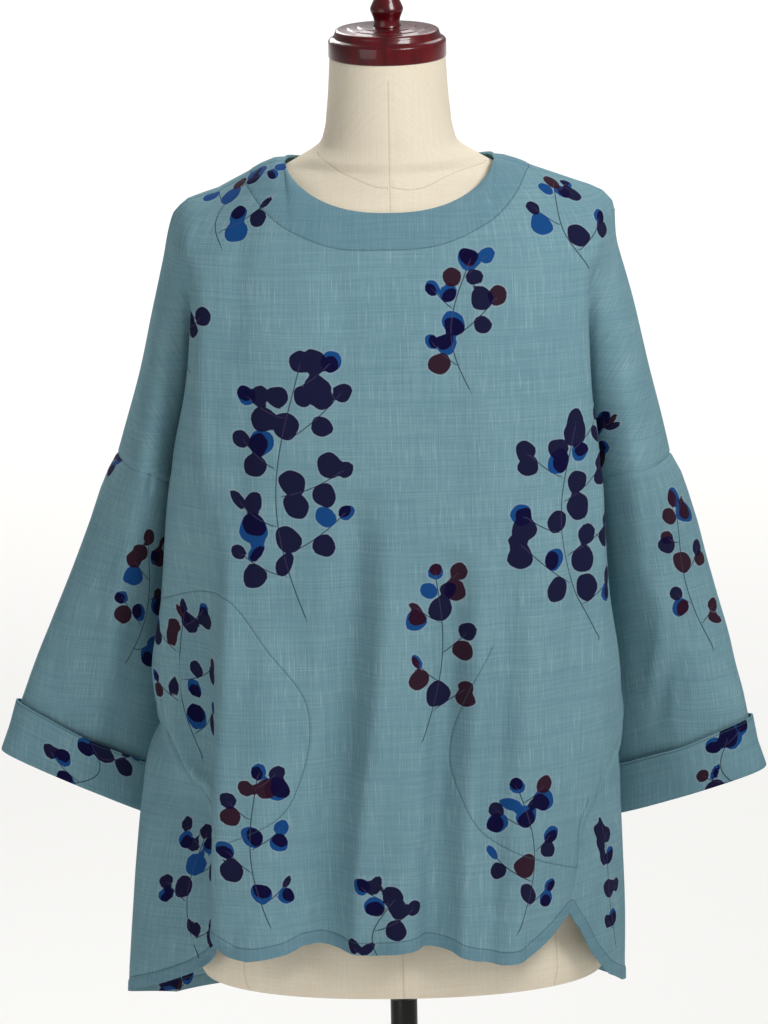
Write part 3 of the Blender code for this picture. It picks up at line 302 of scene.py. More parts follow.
# The dropped shoulder beyond the crease, which hangs as a flattened tube. It is the same behind, at -y.
ARM_RIGHT = (
    ArmSection(1.3, (0.178, -0.043), (0.185, -0.027), (0.1918, -0.004)),
    ArmSection(1.255, (0.174, -0.046), (0.188, -0.039), (0.2035, -0.003)),
    ArmSection(1.2, (0.172, -0.045), (0.191, -0.05), (0.2155, -0.002)),
    ArmSection(1.15, (0.174, -0.044), (0.197, -0.058), (0.2275, -0.001)),
    ArmSection(1.09, (0.179, -0.045), (0.206, -0.067), (0.24, 0.0)),
)
ARM_LEFT = (
    ArmSection(1.3, (-0.178, -0.042), (-0.185, -0.026), (-0.1905, -0.004)),
    ArmSection(1.255, (-0.176, -0.044), (-0.188, -0.038), (-0.2012, -0.003)),
    ArmSection(1.2, (-0.179, -0.044), (-0.1935, -0.048), (-0.2138, -0.002)),
    ArmSection(1.15, (-0.1865, -0.044), (-0.203, -0.057), (-0.2285, -0.001)),
    ArmSection(1.09, (-0.197, -0.045), (-0.2155, -0.067), (-0.246, 0.0)),
)

# The shoulder line from the neck point to the tip, where the dropped shoulder starts to hang
SHOULDER_RIGHT = (
    ShoulderPoint(0.088, 1.3832),
    ShoulderPoint(0.096, 1.382),
    ShoulderPoint(0.107, 1.3782),
    ShoulderPoint(0.1196, 1.3728),
    ShoulderPoint(0.1475, 1.3632),
    ShoulderPoint(0.167, 1.356),
    ShoulderPoint(0.178, 1.3512),
    ShoulderPoint(0.186, 1.343),
    ShoulderPoint(0.189, 1.3345),
)
SHOULDER_LEFT = (
    ShoulderPoint(-0.088, 1.3835),
    ShoulderPoint(-0.096, 1.3832),
    ShoulderPoint(-0.107, 1.3788),
    ShoulderPoint(-0.118, 1.3722),
    ShoulderPoint(-0.1412, 1.3588),
    ShoulderPoint(-0.168, 1.3503),
    ShoulderPoint(-0.1752, 1.345),
    ShoulderPoint(-0.18, 1.34),
    ShoulderPoint(-0.183, 1.3335),
)
# Where the key lines from bust to outer start, as shares of the shoulder line's width
SHOULDER_SHARES = (0.0, 0.27, 0.5, 0.66, 0.77, 0.86, 0.94, 1.0)

# Height of the hem along the key lines: 0 is the centre, 2 the bust, 5 the fold and 6 the top of the slit
HEM_FRONT_RIGHT = (
    HemPoint(0.0, 0.7336), HemPoint(0.5, 0.736), HemPoint(1.0, 0.7313), HemPoint(1.5, 0.7238),
    HemPoint(2.0, 0.7212), HemPoint(2.6, 0.7224), HemPoint(3.0, 0.726), HemPoint(3.5, 0.7298),
    HemPoint(4.0, 0.7347), HemPoint(4.5, 0.7395), HemPoint(5.0, 0.745), HemPoint(6.0, SLIT_TOP_Z),
)
HEM_FRONT_LEFT = (
    HemPoint(0.0, 0.7336), HemPoint(0.5, 0.7302), HemPoint(1.0, 0.7304), HemPoint(1.33, 0.7352),
    HemPoint(1.67, 0.7374), HemPoint(2.0, 0.7318), HemPoint(2.5, 0.7274), HemPoint(2.75, 0.73),
    HemPoint(3.0, 0.7375), HemPoint(4.0, 0.744), HemPoint(5.0, 0.749), HemPoint(6.0, SLIT_TOP_Z),
)
HEM_BACK_RIGHT = (
    HemPoint(0.0, 0.643), HemPoint(2.0, 0.642), HemPoint(3.0, 0.6425), HemPoint(4.0, 0.649),
    HemPoint(5.0, 0.672), HemPoint(5.35, 0.686), HemPoint(5.6, 0.709), HemPoint(5.8, 0.735),
    HemPoint(6.0, SLIT_TOP_Z),
)
HEM_BACK_LEFT = (
    HemPoint(0.0, 0.643), HemPoint(1.0, 0.641), HemPoint(2.0, 0.636), HemPoint(3.0, 0.633),
    HemPoint(4.0, 0.6375), HemPoint(5.0, 0.6665), HemPoint(5.35, 0.6804), HemPoint(5.6, 0.695),
    HemPoint(5.8, 0.713), HemPoint(6.0, SLIT_TOP_Z),
)

# The open end of each sleeve, from its inner to its outer corner
SLEEVE_ENDS = {
    "right": SleeveEnd((0.18, 0.072, 0.792), (0.3098, 0.03, 0.84)),
    "left": SleeveEnd((-0.206, 0.074, 0.795), (-0.3365, 0.03, 0.8655)),
}
# How far the outer edge of each sleeve bows out, at shares of its length
SLEEVE_BOWS = (
    Bow(0.0, 0.0, 0.0),
    Bow(0.06, 0.0042, 0.0027),
    Bow(0.12, 0.005, 0.0034),
    Bow(0.22, 0.0055, 0.0023),
    Bow(0.33, 0.0046, 0.002),
    Bow(0.6, 0.0036, 0.0016),
    Bow(0.75, 0.0018, 0.0022),
    Bow(0.84, -0.0004, 0.0016),
    Bow(0.92, -0.002, 0.0),
    Bow(1.0, 0.0, 0.0),
)

# Sections of the dress form, each a rounded outline of this power
FORM_SECTIONS = (
    FormSection(FORM_BOTTOM_Z, 0.171, 0.114, 0.12, 2.25),
    FormSection(0.688, 0.175, 0.118, 0.125, 2.2),
    FormSection(0.74, 0.1755, 0.12, 0.129, 2.1),
    FormSection(0.8, 0.171, 0.117, 0.126, 2.1),
    FormSection(0.88, 0.152, 0.106, 0.11, 2.1),
    FormSection(0.96, 0.131, 0.097, 0.093, 2.1),
    FormSection(1.02, 0.124, 0.097, 0.087, 2.1),
    FormSection(1.09, 0.132, 0.107, 0.091, 2.2),
    FormSection(1.16, 0.141, 0.113, 0.096, 2.2),
    FormSection(1.21, 0.147, 0.108, 0.098, 2.1),
    FormSection(1.26, 0.154, 0.095, 0.096, 2.0),
    FormSection(1.3, 0.163, 0.081, 0.089, 2.0),
    FormSection(1.325, 0.169, 0.073, 0.082, 1.9),
)
FORM_SHOULDERS = (
    FormSection(1.349, 0.162, 0.066, 0.069, 1.65),
    FormSection(1.3575, 0.139, 0.06, 0.062, 1.5),
    FormSection(1.3695, 0.111, 0.055, 0.056, 1.45),
    FormSection(1.3768, 0.089, 0.053, 0.053, 1.5),
)
FORM_NECK = (
    FormSection(1.385, 0.0735, 0.0535, 0.053, 1.8),
    FormSection(1.389, 0.0662, 0.053, 0.0525, 1.9),
    FormSection(1.394, 0.0595, 0.0525, 0.052, 2.0),
    FormSection(1.405, 0.0548, 0.0525, 0.053, 2.0),
    FormSection(1.425, 0.052, 0.051, 0.051, 2.0),
    FormSection(FORM_TOP_Z, 0.049, 0.049, 0.049, 2.0),
)

# Turned outlines, as (radius, height above the piece's foot), from the top of the axis down the outer side
CAP_OUTLINE = (
    (0.0, 0.0255), (0.024, 0.0255), (0.0248, 0.0246), (0.0325, 0.0243), (0.0333, 0.0235), (0.042, 0.0231),
    (0.0435, 0.0221), (0.0442, 0.0195), (0.0455, 0.0167), (0.048, 0.0154), (0.0495, 0.0136), (0.0496, 0.0005),
    (0.0491, 0.0), (0.0, 0.0),
)
FINIAL_OUTLINE = (
    (0.0, 0.064), (0.004, 0.0632), (0.0085, 0.06), (0.0112, 0.055), (0.0118, 0.05), (0.0108, 0.044),
    (0.0085, 0.039), (0.0068, 0.035), (0.0074, 0.03), (0.0092, 0.025), (0.0122, 0.019), (0.0138, 0.015),
    (0.0137, 0.0125), (0.012, 0.0085), (0.0111, 0.0055), (0.0113, 0.0015), (0.0118, 0.0), (0.0, 0.0),
)
SOCKET_OUTLINE = (
    (0.0, SOCKET_LENGTH), (0.0165, SOCKET_LENGTH), (SOCKET_RADIUS, SOCKET_LENGTH - 0.001),
    (SOCKET_RADIUS, 0.004), (0.0145, 0.0), (0.0, 0.0),
)
BASE_OUTLINE = (
    (0.0, 0.048), (0.019, 0.048), (0.021, 0.046), (0.0225, 0.026), (0.03, 0.019),
    (0.07, BASE_THICKNESS), (BASE_RADIUS - 0.004, 0.011), (BASE_RADIUS, 0.008), (BASE_RADIUS, 0.0015),
    (BASE_RADIUS - 0.0015, 0.0), (0.0, 0.0),
)


class Tone(Enum):
    """Colours of the printed leaves. The value is the name of the mark that holds their outline."""

    BLUE = "blue"
    WINE = "wine"
    NAVY = "navy"


class Palette(Enum):
    """Which tones a spray is printed in, with how often each comes."""

    DARK = ((Tone.NAVY, 0.8), (Tone.BLUE, 0.2))
    MIXED = ((Tone.NAVY, 0.3), (Tone.WINE, 0.2), (Tone.BLUE, 0.5))
    WARM = ((Tone.NAVY, 0.15), (Tone.WINE, 0.45), (Tone.BLUE, 0.4))


class Space(Enum):
    """What a place on a cloth piece is measured in."""

    PHOTO = "pixels of the 768 by 1024 view, front side"
    PHOTO_INSIDE = "pixels of the same view, on the wrong side of the cloth"
    FLAT = "metres on the flat piece, across to the right and down"


class Spray(NamedTuple):
    """A printed leaf spray: the box that it fills on a piece, and where its stem's foot is across it."""

    piece: str
    left: float
    top: float
    right: float
    bottom: float
    palette: Palette
    seed: int
    foot: float = 0.0
    space: Space = Space.PHOTO


class Crease(NamedTuple):
    """A soft ridge, or a trough if its height is negative, along a line on a piece.

    It fades out at its start, and at its end too unless it runs off the hem.
    """

    piece: str
    width: float
    height: float
    line: tuple[Point, ...]
    space: Space = Space.PHOTO
    to_hem: bool = False


SPRAYS = (
    Spray("front", 190, 158, 276, 250, Palette.MIXED, 3, 0.1),
    Spray("front", 420, 252, 508, 390, Palette.MIXED, 68, 0.1),
    Spray("front", 530, 174, 607, 264, Palette.MIXED, 5, 0.3),
    Spray("front", 223, 355, 362, 620, Palette.DARK, 12, 0.15),
    Spray("front", 403, 565, 478, 740, Palette.WARM, 21, -0.5),
    Spray("front", 528, 415, 608, 645, Palette.DARK, 17, 0.6),
    Spray("front", 158, 600, 222, 755, Palette.MIXED, 9, 0.15),
    Spray("front", 218, 765, 296, 925, Palette.MIXED, 31, 0.15),
    Spray("front", 346, 876, 428, 990, Palette.DARK, 62, 0.1),
    Spray("front", 485, 778, 561, 930, Palette.MIXED, 27, -0.15),
    Spray("back", 592, 815, 628, 950, Palette.DARK, 16, 0.2),
    Spray("back", 168, 822, 218, 958, Palette.DARK, 65, 0.4),
    Spray("back", 146, 972, 194, 1012, Palette.MIXED, 10, 0.0, Space.PHOTO_INSIDE),
    Spray("sleeve_left", 118, 528, 166, 670, Palette.MIXED, 15, -0.25),
    Spray("sleeve_left", 104, 440, 126, 485, Palette.DARK, 4, 0.0),
    Spray("front", 180, 312, 200, 372, Palette.DARK, 6, 0.1),
    Spray("cuff_left", 40, 724, 152, 812, Palette.DARK, 18, -0.6),
    Spray("sleeve_right", 656, 485, 722, 657, Palette.WARM, 19, 0.3),
    Spray("cuff_right", 690, 728, 760, 792, Palette.MIXED, 28, 0.3),
    Spray("front", 588, 408, 608, 470, Palette.MIXED, 33, 0.1),
    Spray("back", -0.175, 0.02, -0.075, 0.19, Palette.MIXED, 41, 0.2, Space.FLAT),
    Spray("back", 0.06, -0.01, 0.15, 0.13, Palette.WARM, 42, -0.2, Space.FLAT),
    Spray("back", -0.035, 0.215, 0.085, 0.44, Palette.DARK, 43, 0.3, Space.FLAT),
    Spray("back", -0.24, 0.27, -0.16, 0.42, Palette.WARM, 44, -0.1, Space.FLAT),
    Spray("back", 0.15, 0.25, 0.235, 0.4, Palette.MIXED, 45, 0.2, Space.FLAT),
    Spray("back", -0.13, 0.46, -0.05, 0.61, Palette.MIXED, 46, 0.1, Space.FLAT),
    Spray("back", 0.1, 0.48, 0.18, 0.63, Palette.WARM, 47, -0.2, Space.FLAT),
    Spray("back", 0.225, 0.06, 0.28, 0.17, Palette.DARK, 48, 0.2, Space.FLAT),
    Spray("back", -0.3, 0.08, -0.23, 0.2, Palette.MIXED, 49, 0.2, Space.FLAT),
    Spray("back", -0.03, -0.085, 0.04, 0.0, Palette.DARK, 50, 0.2, Space.FLAT),
    Spray("sleeve_left", 0.06, 0.06, 0.13, 0.2, Palette.MIXED, 51, 0.2, Space.FLAT),
    Spray("sleeve_right", 0.26, 0.07, 0.335, 0.22, Palette.DARK, 52, -0.2, Space.FLAT),
    Spray("cuff_left", 0.05, -0.01, 0.12, 0.058, Palette.MIXED, 53, 0.2, Space.FLAT),
    Spray("cuff_right", 0.2, -0.01, 0.27, 0.058, Palette.DARK, 54, -0.2, Space.FLAT),
)

CREASES = (
    Crease("front", 0.01, 0.0045, ((230, 520), (227, 640), (221, 800), (217, 935)), to_hem=True),
    Crease("front", 0.015, -0.015, ((356, 490), (352, 620), (345, 720), (334, 810), (327, 952)), to_hem=True),
    Crease("front", 0.014, 0.0095, ((388, 510), (386, 640), (378, 730), (366, 820), (360, 952)), to_hem=True),
    Crease("front", 0.014, -0.015, ((455, 550), (448, 700), (441, 800), (436, 950)), to_hem=True),
    Crease("front", 0.013, 0.0075, ((483, 550), (478, 700), (470, 800), (464, 955)), to_hem=True),
    Crease("front", 0.013, -0.006, ((505, 560), (500, 700), (494, 830), (490, 960)), to_hem=True),
    Crease("front", 0.013, 0.0065, ((537, 520), (528, 700), (519, 830), (512, 960)), to_hem=True),
    Crease("front", 0.016, -0.005, ((296, 600), (300, 760), (300, 860), (298, 946)), to_hem=True),
    Crease("front", 0.018, 0.0045, ((272, 640), (266, 790), (260, 960)), to_hem=True),
    Crease("front", 0.005, -0.0085, ((155, 700), (167, 740), (185, 777), (207, 808))),
    Crease("front", 0.006, 0.005, ((166, 698), (178, 736), (196, 772), (218, 802))),
    Crease("back", 0.009, -0.006, ((203, 790), (203, 870), (202, 958)), to_hem=True),
    Crease("front", 0.012, -0.0034, ((252, 360), (240, 480), (243, 600), (252, 700))),
    Crease("front", 0.009, 0.0032, ((206, 270), (203, 400), (209, 520))),
    Crease("front", 0.01, -0.004, ((572, 470), (576, 600), (566, 760))),
    Crease("front", 0.008, 0.003, ((592, 400), (600, 560), (604, 690))),
    Crease("front", 0.012, -0.0028, ((250, 215), (236, 300), (230, 380))),
    Crease("front", 0.012, -0.0028, ((552, 215), (568, 300), (575, 390))),
    Crease("front", 0.012, -0.0022, ((330, 262), (344, 330), (340, 420))),
    Crease("front", 0.012, -0.0022, ((462, 262), (452, 340), (458, 440))),
    Crease("front", 0.006, -0.0018, ((255, 900), (238, 930), (226, 950))),
    Crease("front", 0.006, -0.0016, ((372, 893), (402, 900), (430, 894))),
    Crease("front", 0.006, -0.0016, ((480, 905), (500, 914), (528, 905))),
    Crease("front", 0.006, -0.002, ((320, 888), (338, 902), (352, 897))),
    Crease("front", 0.007, -0.0022, ((180, 640), (200, 720), (206, 780))),
    Crease("back", 0.012, 0.0022, ((160, 800), (152, 880), (145, 980))),
    Crease("back", 0.009, -0.0018, ((186, 820), (180, 900), (176, 975))),
    Crease("sleeve_left", 0.01, -0.0022, ((112, 540), (92, 630), (80, 700))),
    Crease("sleeve_left", 0.009, 0.002, ((140, 500), (118, 600), (106, 700))),
    Crease("sleeve_left", 0.0035, -0.0022, ((153, 470), (150, 484), (148, 500))),
    Crease("sleeve_left", 0.008, -0.0016, ((60, 640), (52, 680), (46, 708))),
    Crease("sleeve_right", 0.01, -0.004, ((690, 610), (672, 660), (655, 735))),
    Crease("sleeve_right", 0.008, 0.0026, ((668, 560), (660, 640), (648, 700))),
    Crease("sleeve_right", 0.009, -0.003, ((645, 470), (650, 530), (652, 590))),
    Crease("sleeve_right", 0.009, 0.0024, ((700, 640), (694, 690), (690, 720))),
    Crease("sleeve_right", 0.007, -0.0016, ((716, 640), (722, 680), (728, 708))),
    Crease("back", 0.018, -0.0045, ((-0.06, 0.22), (-0.075, 0.42), (-0.085, 0.64)), Space.FLAT),
    Crease("back", 0.016, -0.004, ((0.05, 0.18), (0.06, 0.4), (0.07, 0.64)), Space.FLAT),
    Crease("back", 0.016, 0.0035, ((-0.01, 0.24), (-0.005, 0.43), (0.0, 0.64)), Space.FLAT),
    Crease("back", 0.015, 0.003, ((0.115, 0.16), (0.13, 0.38), (0.14, 0.62)), Space.FLAT),
    Crease("back", 0.015, 0.003, ((-0.125, 0.18), (-0.14, 0.38), (-0.15, 0.62)), Space.FLAT),
    Crease("back", 0.01, -0.0018, ((0.12, -0.02), (0.128, 0.06), (0.125, 0.15)), Space.FLAT),
    Crease("back", 0.01, -0.0018, ((-0.118, -0.02), (-0.126, 0.06), (-0.122, 0.14)), Space.FLAT),
    Crease("back", 0.012, 0.0016, ((-0.05, 0.02), (0.0, 0.04), (0.055, 0.018)), Space.FLAT),
    Crease("back", 0.009, -0.0016, ((0.19, 0.24), (0.215, 0.34), (0.22, 0.46)), Space.FLAT),
    Crease("back", 0.01, -0.0018, ((-0.19, 0.23), (-0.215, 0.33), (-0.225, 0.45)), Space.FLAT),
    Crease("sleeve_left", 0.01, -0.003, ((0.08, 0.03), (0.085, 0.13), (0.08, 0.24)), Space.FLAT),
    Crease("sleeve_left", 0.009, 0.0024, ((0.12, 0.02), (0.125, 0.12), (0.12, 0.23)), Space.FLAT),
    Crease("sleeve_right", 0.01, -0.003, ((0.28, 0.03), (0.285, 0.13), (0.28, 0.24)), Space.FLAT),
    Crease("sleeve_right", 0.009, 0.0024, ((0.32, 0.02), (0.325, 0.12), (0.32, 0.23)), Space.FLAT),
)

FACING_LINE = (
    (240, 176), (254, 197), (273, 220), (296, 234.7), (328, 247), (359, 250.5), (412, 249.4), (443.6, 244),
    (475, 230.5), (498, 215), (517, 191), (528, 168),
)

# Lines sewn on the front: the edges of the pocket bags and the ends of the pocket mouths
FRONT_SEAMS = (
    (
        (163, 598), (198, 591), (224, 597), (240, 614), (268, 652), (304, 699), (310, 742), (300, 784),
        (283, 814), (254, 832), (222, 845),
    ),
    (
        (492, 648), (468, 694), (453, 740), (455, 780), (480, 830), (510, 850), (545, 862), (578, 868),
    ),
    ((588, 800), (578, 832), (578, 870)),
    ((161, 700), (172, 738), (190, 775), (213, 806)),
)


def linear(code: str) -> tuple[float, float, float, float]:
    """The linear colour of an sRGB hex value.

    Args:
        code: six hex digits after a hash.

    Returns:
        Red, green, blue and an alpha of 1.
    """
    shares = [int(code[k:k + 2], 16) / 255 for k in (1, 3, 5)]
    r, g, b = (c / 12.92 if c <= 0.04045 else ((c + 0.055) / 1.055) ** 2.4 for c in shares)
    return r, g, b, 1.0


def add_node(
    tree: bpy.types.NodeTree, kind: str, inputs: dict | None = None, out: int | str = 0, **settings: object
) -> bpy.types.NodeSocket:
    """Adds a node with its settings, its input values and the links into it.

    Args:
        tree: the material's node tree.
        kind: the node's type name, without the words ShaderNode.
        inputs: input names or numbers, each with a value or with an output socket to link.
        out: the name or number of the output that is used.
        settings: the node's own properties.

    Returns:
        That output.
    """
    made = tree.nodes.new("ShaderNode" + kind)
    for name, value in settings.items():
        setattr(made, name, value)
    for key, value in (inputs or {}).items():
        if isinstance(value, bpy.types.NodeSocket):
            tree.links.new(value, made.inputs[key])
        else:
            made.inputs[key].default_value = value
    return made.outputs[out]


def smooth_table(rows: Sequence, column: str, heights: np.ndarray) -> np.ndarray:
    """Curves a table's column smoothly through its rows.

    Args:
        rows: sections from the highest to the lowest.
        column: the name of the column.
        heights: where the curve is read.

    Returns:
        One row of values for each height.
    """
    z = np.array([row.z for row in rows][::-1])
    values = np.array([getattr(row, column) for row in rows][::-1], float)
    if values.ndim == 1:
        values = values[:, None]
    step = np.diff(z)
    slope = np.diff(values, axis=0) / step[:, None]
    tangent = np.vstack([slope[:1], np.zeros_like(slope[1:]), slope[-1:]])
    share = step[:-1, None] / (step[:-1, None] + step[1:, None])
    tangent[1:-1] = slope[:-1] * (1 - share) + slope[1:] * share
    heights = np.clip(heights, z[0], z[-1])
    cell = np.clip(np.searchsorted(z, heights, side="right") - 1, 0, len(z) - 2)
    t = ((heights - z[cell]) / step[cell])[:, None]
    run = step[cell][:, None]
    return (
        values[cell] * (1 + 2 * t) * (1 - t) ** 2
        + tangent[cell] * run * t * (1 - t) ** 2
        + values[cell + 1] * t * t * (3 - 2 * t)
        + tangent[cell + 1] * run * t * t * (t - 1)
    )


def curve_through(keys: np.ndarray, cell: np.ndarray, t: np.ndarray) -> np.ndarray:
    """Reads a smooth curve through rows of key points.

    Args:
        keys: one row of key points for each point that is read.
        cell: the interval of each row in which its point lies.
        t: the share of that interval.

    Returns:
        One (x, y) for each row.
    """
    rows = np.arange(len(keys))
    chord = np.linalg.norm(np.diff(keys, axis=1), axis=2) + 1e-7
    before, along, after = (keys[rows, cell + k + 1] - keys[rows, cell + k] for k in (-1, 0, 1))
    before_run, run, after_run = (chord[rows, cell + k][:, None] for k in (-1, 0, 1))
    start = (before / before_run * run + along / run * before_run) / (run + before_run)
    end = (along / run * after_run + after / after_run * run) / (run + after_run)
    t = t[:, None]
    return (
        keys[rows, cell] * (1 + 2 * t) * (1 - t) ** 2
        + start * run * t * (1 - t) ** 2
        + keys[rows, cell + 1] * t * t * (3 - 2 * t)
        + end * run * t * t * (t - 1)
    )


def ease(x: np.ndarray) -> np.ndarray:
    """0 to 1 with no corner at either end."""
    x = np.clip(x, 0.0, 1.0)
    return x * x * (3 - 2 * x)


def smooth_line(points: Sequence[Point], spacing: float) -> np.ndarray:
    """A smooth line through points, with a point about every spacing.

    Args:
        points: the points.
        spacing: the distance between the line's own points.

    Returns:
        The line's points, one a row.
    """
    keys = np.asarray(points, float)
    if len(keys) < 3:
        return keys
    ends = np.vstack([2 * keys[0] - keys[1], keys, 2 * keys[-1] - keys[-2]])
    found = []
    for a, b, c, d in zip(ends, ends[1:], ends[2:], ends[3:]):
        count = max(2, int(np.linalg.norm(c - b) / spacing) + 1)
        t = np.linspace(0, 1, count, endpoint=False)[:, None]
        found.append(0.5 * (2 * b + (c - a) * t + (2 * a - 5 * b + 4 * c - d) * t**2
                            + (3 * b - 3 * c + d - a) * t**3))
    return np.vstack([*found, keys[-1:]])


def line_distance(where: np.ndarray, line: np.ndarray) -> tuple[np.ndarray, np.ndarray]:
    """Signed distances from points to a line, and how far along it the nearest places are.

    Args:
        where: points, one a row.
        line: the line's points, one a row.

    Returns:
        The distances, in a plane positive on the line's left, and the lengths along the line.
    """
    start, along = line[:-1], np.diff(line, axis=0)
    length = np.maximum(np.linalg.norm(along, axis=1), 1e-9)
    reach = np.concatenate([[0], np.cumsum(length)])[:-1]
    distance = np.empty(len(where))
    run = np.empty(len(where))
    step = max(1, 2_000_000 // len(start))
    for first in range(0, len(where), step):
        offset = where[first:first + step, None] - start
        t = np.clip((offset * along).sum(axis=2) / length**2, 0, 1)
        away = np.linalg.norm(offset - t[..., None] * along, axis=2)
        nearest = away.argmin(axis=1)
        rows = np.arange(len(nearest))
        side = along[nearest, 0] * offset[rows, nearest, 1] - along[nearest, 1] * offset[rows, nearest, 0]
        sign = np.where(side < 0, -1, 1) if where.shape[1] == 2 else 1
        distance[first:first + step] = away[rows, nearest] * sign
        run[first:first + step] = reach[nearest] + t[rows, nearest] * length[nearest]
    return distance, run


def waves(shape: tuple[int, int], cells: tuple[int, int], seed: int) -> np.ndarray:
    """Smooth random values from -1 to 1 over a grid.

    Args:
        shape: rows and columns of the grid.
        cells: how many waves fit down and across it.
        seed: the seed of the random values.

    Returns:
        An array of that shape.
    """
    knots = np.random.default_rng(seed).uniform(-1, 1, (cells[0] + 2, cells[1] + 2))
    rows, columns = np.linspace(0, cells[0], shape[0]), np.linspace(0, cells[1], shape[1])
    i, j = rows.astype(int), columns.astype(int)
    v, w = ease(rows - i)[:, None], ease(columns - j)[None]
    corner = [knots[np.ix_(i + a, j + b)] for a in (0, 1) for b in (0, 1)]
    return (corner[0] * (1 - w) + corner[1] * w) * (1 - v) + (corner[2] * (1 - w) + corner[3] * w) * v


def superellipse(angle: np.ndarray, power: np.ndarray | float) -> tuple[np.ndarray, np.ndarray]:
    """Cosine and sine of an angle, pressed towards a square as the power rises above 2."""
    cos, sin = np.cos(angle), np.sin(angle)
    return np.sign(cos) * np.abs(cos) ** (2 / power), np.sign(sin) * np.abs(sin) ** (2 / power)


def form_outline(z: np.ndarray) -> list[np.ndarray]:
    """Half width, depth in front, depth behind and power of the form's rounded outline at heights z."""
    rows = (FORM_SECTIONS + FORM_SHOULDERS + FORM_NECK)[::-1]
    return [smooth_table(rows, name, z)[:, 0] for name in ("half_width", "front", "back", "power")]


def add_smooth(mesh: bpy.types.Mesh, material: bpy.types.Material, sharp: float) -> bpy.types.Object:
    """Adds a smooth object of a mesh's own name to the scene.

    Args:
        mesh: the mesh.
        material: its finish.
        sharp: the angle in degrees from which an edge is drawn sharp.

    Returns:
        The object.
    """
    mesh.shade_smooth()
    mesh.set_sharp_from_angle(angle=math.radians(sharp))
    mesh.materials.append(material)
    piece = bpy.data.objects.new(mesh.name, mesh)
    bpy.context.scene.collection.objects.link(piece)
    return piece


@dataclass(frozen=True)
class PhotoView:
    """The camera at the photograph's viewing angle."""

    elevation: float = 13.0
    roll: float = -1.0
    distance: float = 7.5
    focal_pixels: float = 8850.0
    target: tuple[float, float, float] = (0.0, 0.0, 1.05)
    anchor: tuple[float, float, float] = (0.0, 0.0, 0.68)
    anchor_pixel: Point = (403.25, 963.0)
    frame: tuple[int, int] = (768, 1024)
    sensor: float = 36.0

    def direction(self) -> Vector:
        """The direction in which the camera looks."""
        lean = math.radians(self.elevation)
        return Vector((0.0, math.cos(lean), -math.sin(lean)))

    def rotation(self) -> Matrix:
        """The camera's turn, with the photograph's slight roll."""
        level = self.direction().to_track_quat("-Z", "Y").to_matrix()
        return level @ Matrix.Rotation(math.radians(self.roll), 3, "Z")

    def raw(self, points: np.ndarray) -> np.ndarray:
        """Where points fall, in pixels right and down from the middle of an unshifted frame.

        Args:
            points: places in space, one a row or in a grid.

        Returns:
            Their pixels, in the same order.
        """
        place = np.array(self.target) - np.array(self.direction()) * self.distance
        seen = (np.asarray(points, float) - place) @ np.array(self.rotation())
        return np.stack([seen[..., 0], -seen[..., 1]], axis=-1) / -seen[..., 2:] * self.focal_pixels

    def project(self, points: np.ndarray) -> np.ndarray:
        """Pixels of the 768 by 1024 frame in which points fall."""
        return self.raw(points) - self.raw(np.array(self.anchor)) + np.array(self.anchor_pixel)

    def add_camera(self) -> None:
        """Adds the camera and makes it the scene's own."""
        data = bpy.data.cameras.new("view")
        data.sensor_fit = "HORIZONTAL"
        data.sensor_width = self.sensor
        data.lens = self.sensor * self.focal_pixels / self.frame[0]
        unshifted = self.raw(np.array(self.anchor)) + np.array(self.frame) / 2
        data.shift_x = (unshifted[0] - self.anchor_pixel[0]) / self.frame[0]
        data.shift_y = -(unshifted[1] - self.anchor_pixel[1]) / self.frame[0]
        data.clip_end = 200.0
        camera = bpy.data.objects.new("view", data)
        camera.location = Vector(self.target) - self.direction() * self.distance
        camera.rotation_euler = self.rotation().to_euler()
        bpy.context.scene.collection.objects.link(camera)
        bpy.context.scene.camera = camera


class Leaf(NamedTuple):
    """One printed leaf: an egg shape, with its half length and half width, and the tone of a second layer."""

    x: float
    y: float
    turn: float
    length: float
    width: float
    tone: Tone
    wobble: float
    layer: Tone | None

    def distance(self, x: np.ndarray, y: np.ndarray) -> np.ndarray:
        """Signed distance from the leaf's outline, negative inside.

        Args:
            x: places to the right.
            y: places upwards.

        Returns:
            The distances, in metres.
        """
        right, up = x - self.x, y - self.y
        along = (right * math.cos(self.turn) + up * math.sin(self.turn)) / self.length
        across = (up * math.cos(self.turn) - right * math.sin(self.turn)) / self.width
        across = across / np.clip(1 - 0.10 * along, 0.5, 1.5)
        angle = np.arctan2(across, along)
        edge = 1 + 0.03 * np.sin(3 * angle + self.wobble) + 0.025 * np.sin(5 * angle + 2 * self.wobble)
        return (np.hypot(along, across) - edge) * min(self.length, self.width)

    def second(self) -> Leaf:
        """The smaller shape of the second layer, a little to one side.

        Returns:
            The second leaf.
        """
        off = self.width * 0.42
        return self._replace(x=self.x + off * math.cos(self.wobble), y=self.y + off * math.sin(self.wobble),
                             length=self.length * 0.9, width=self.width * 0.85, wobble=self.wobble + 1.7)


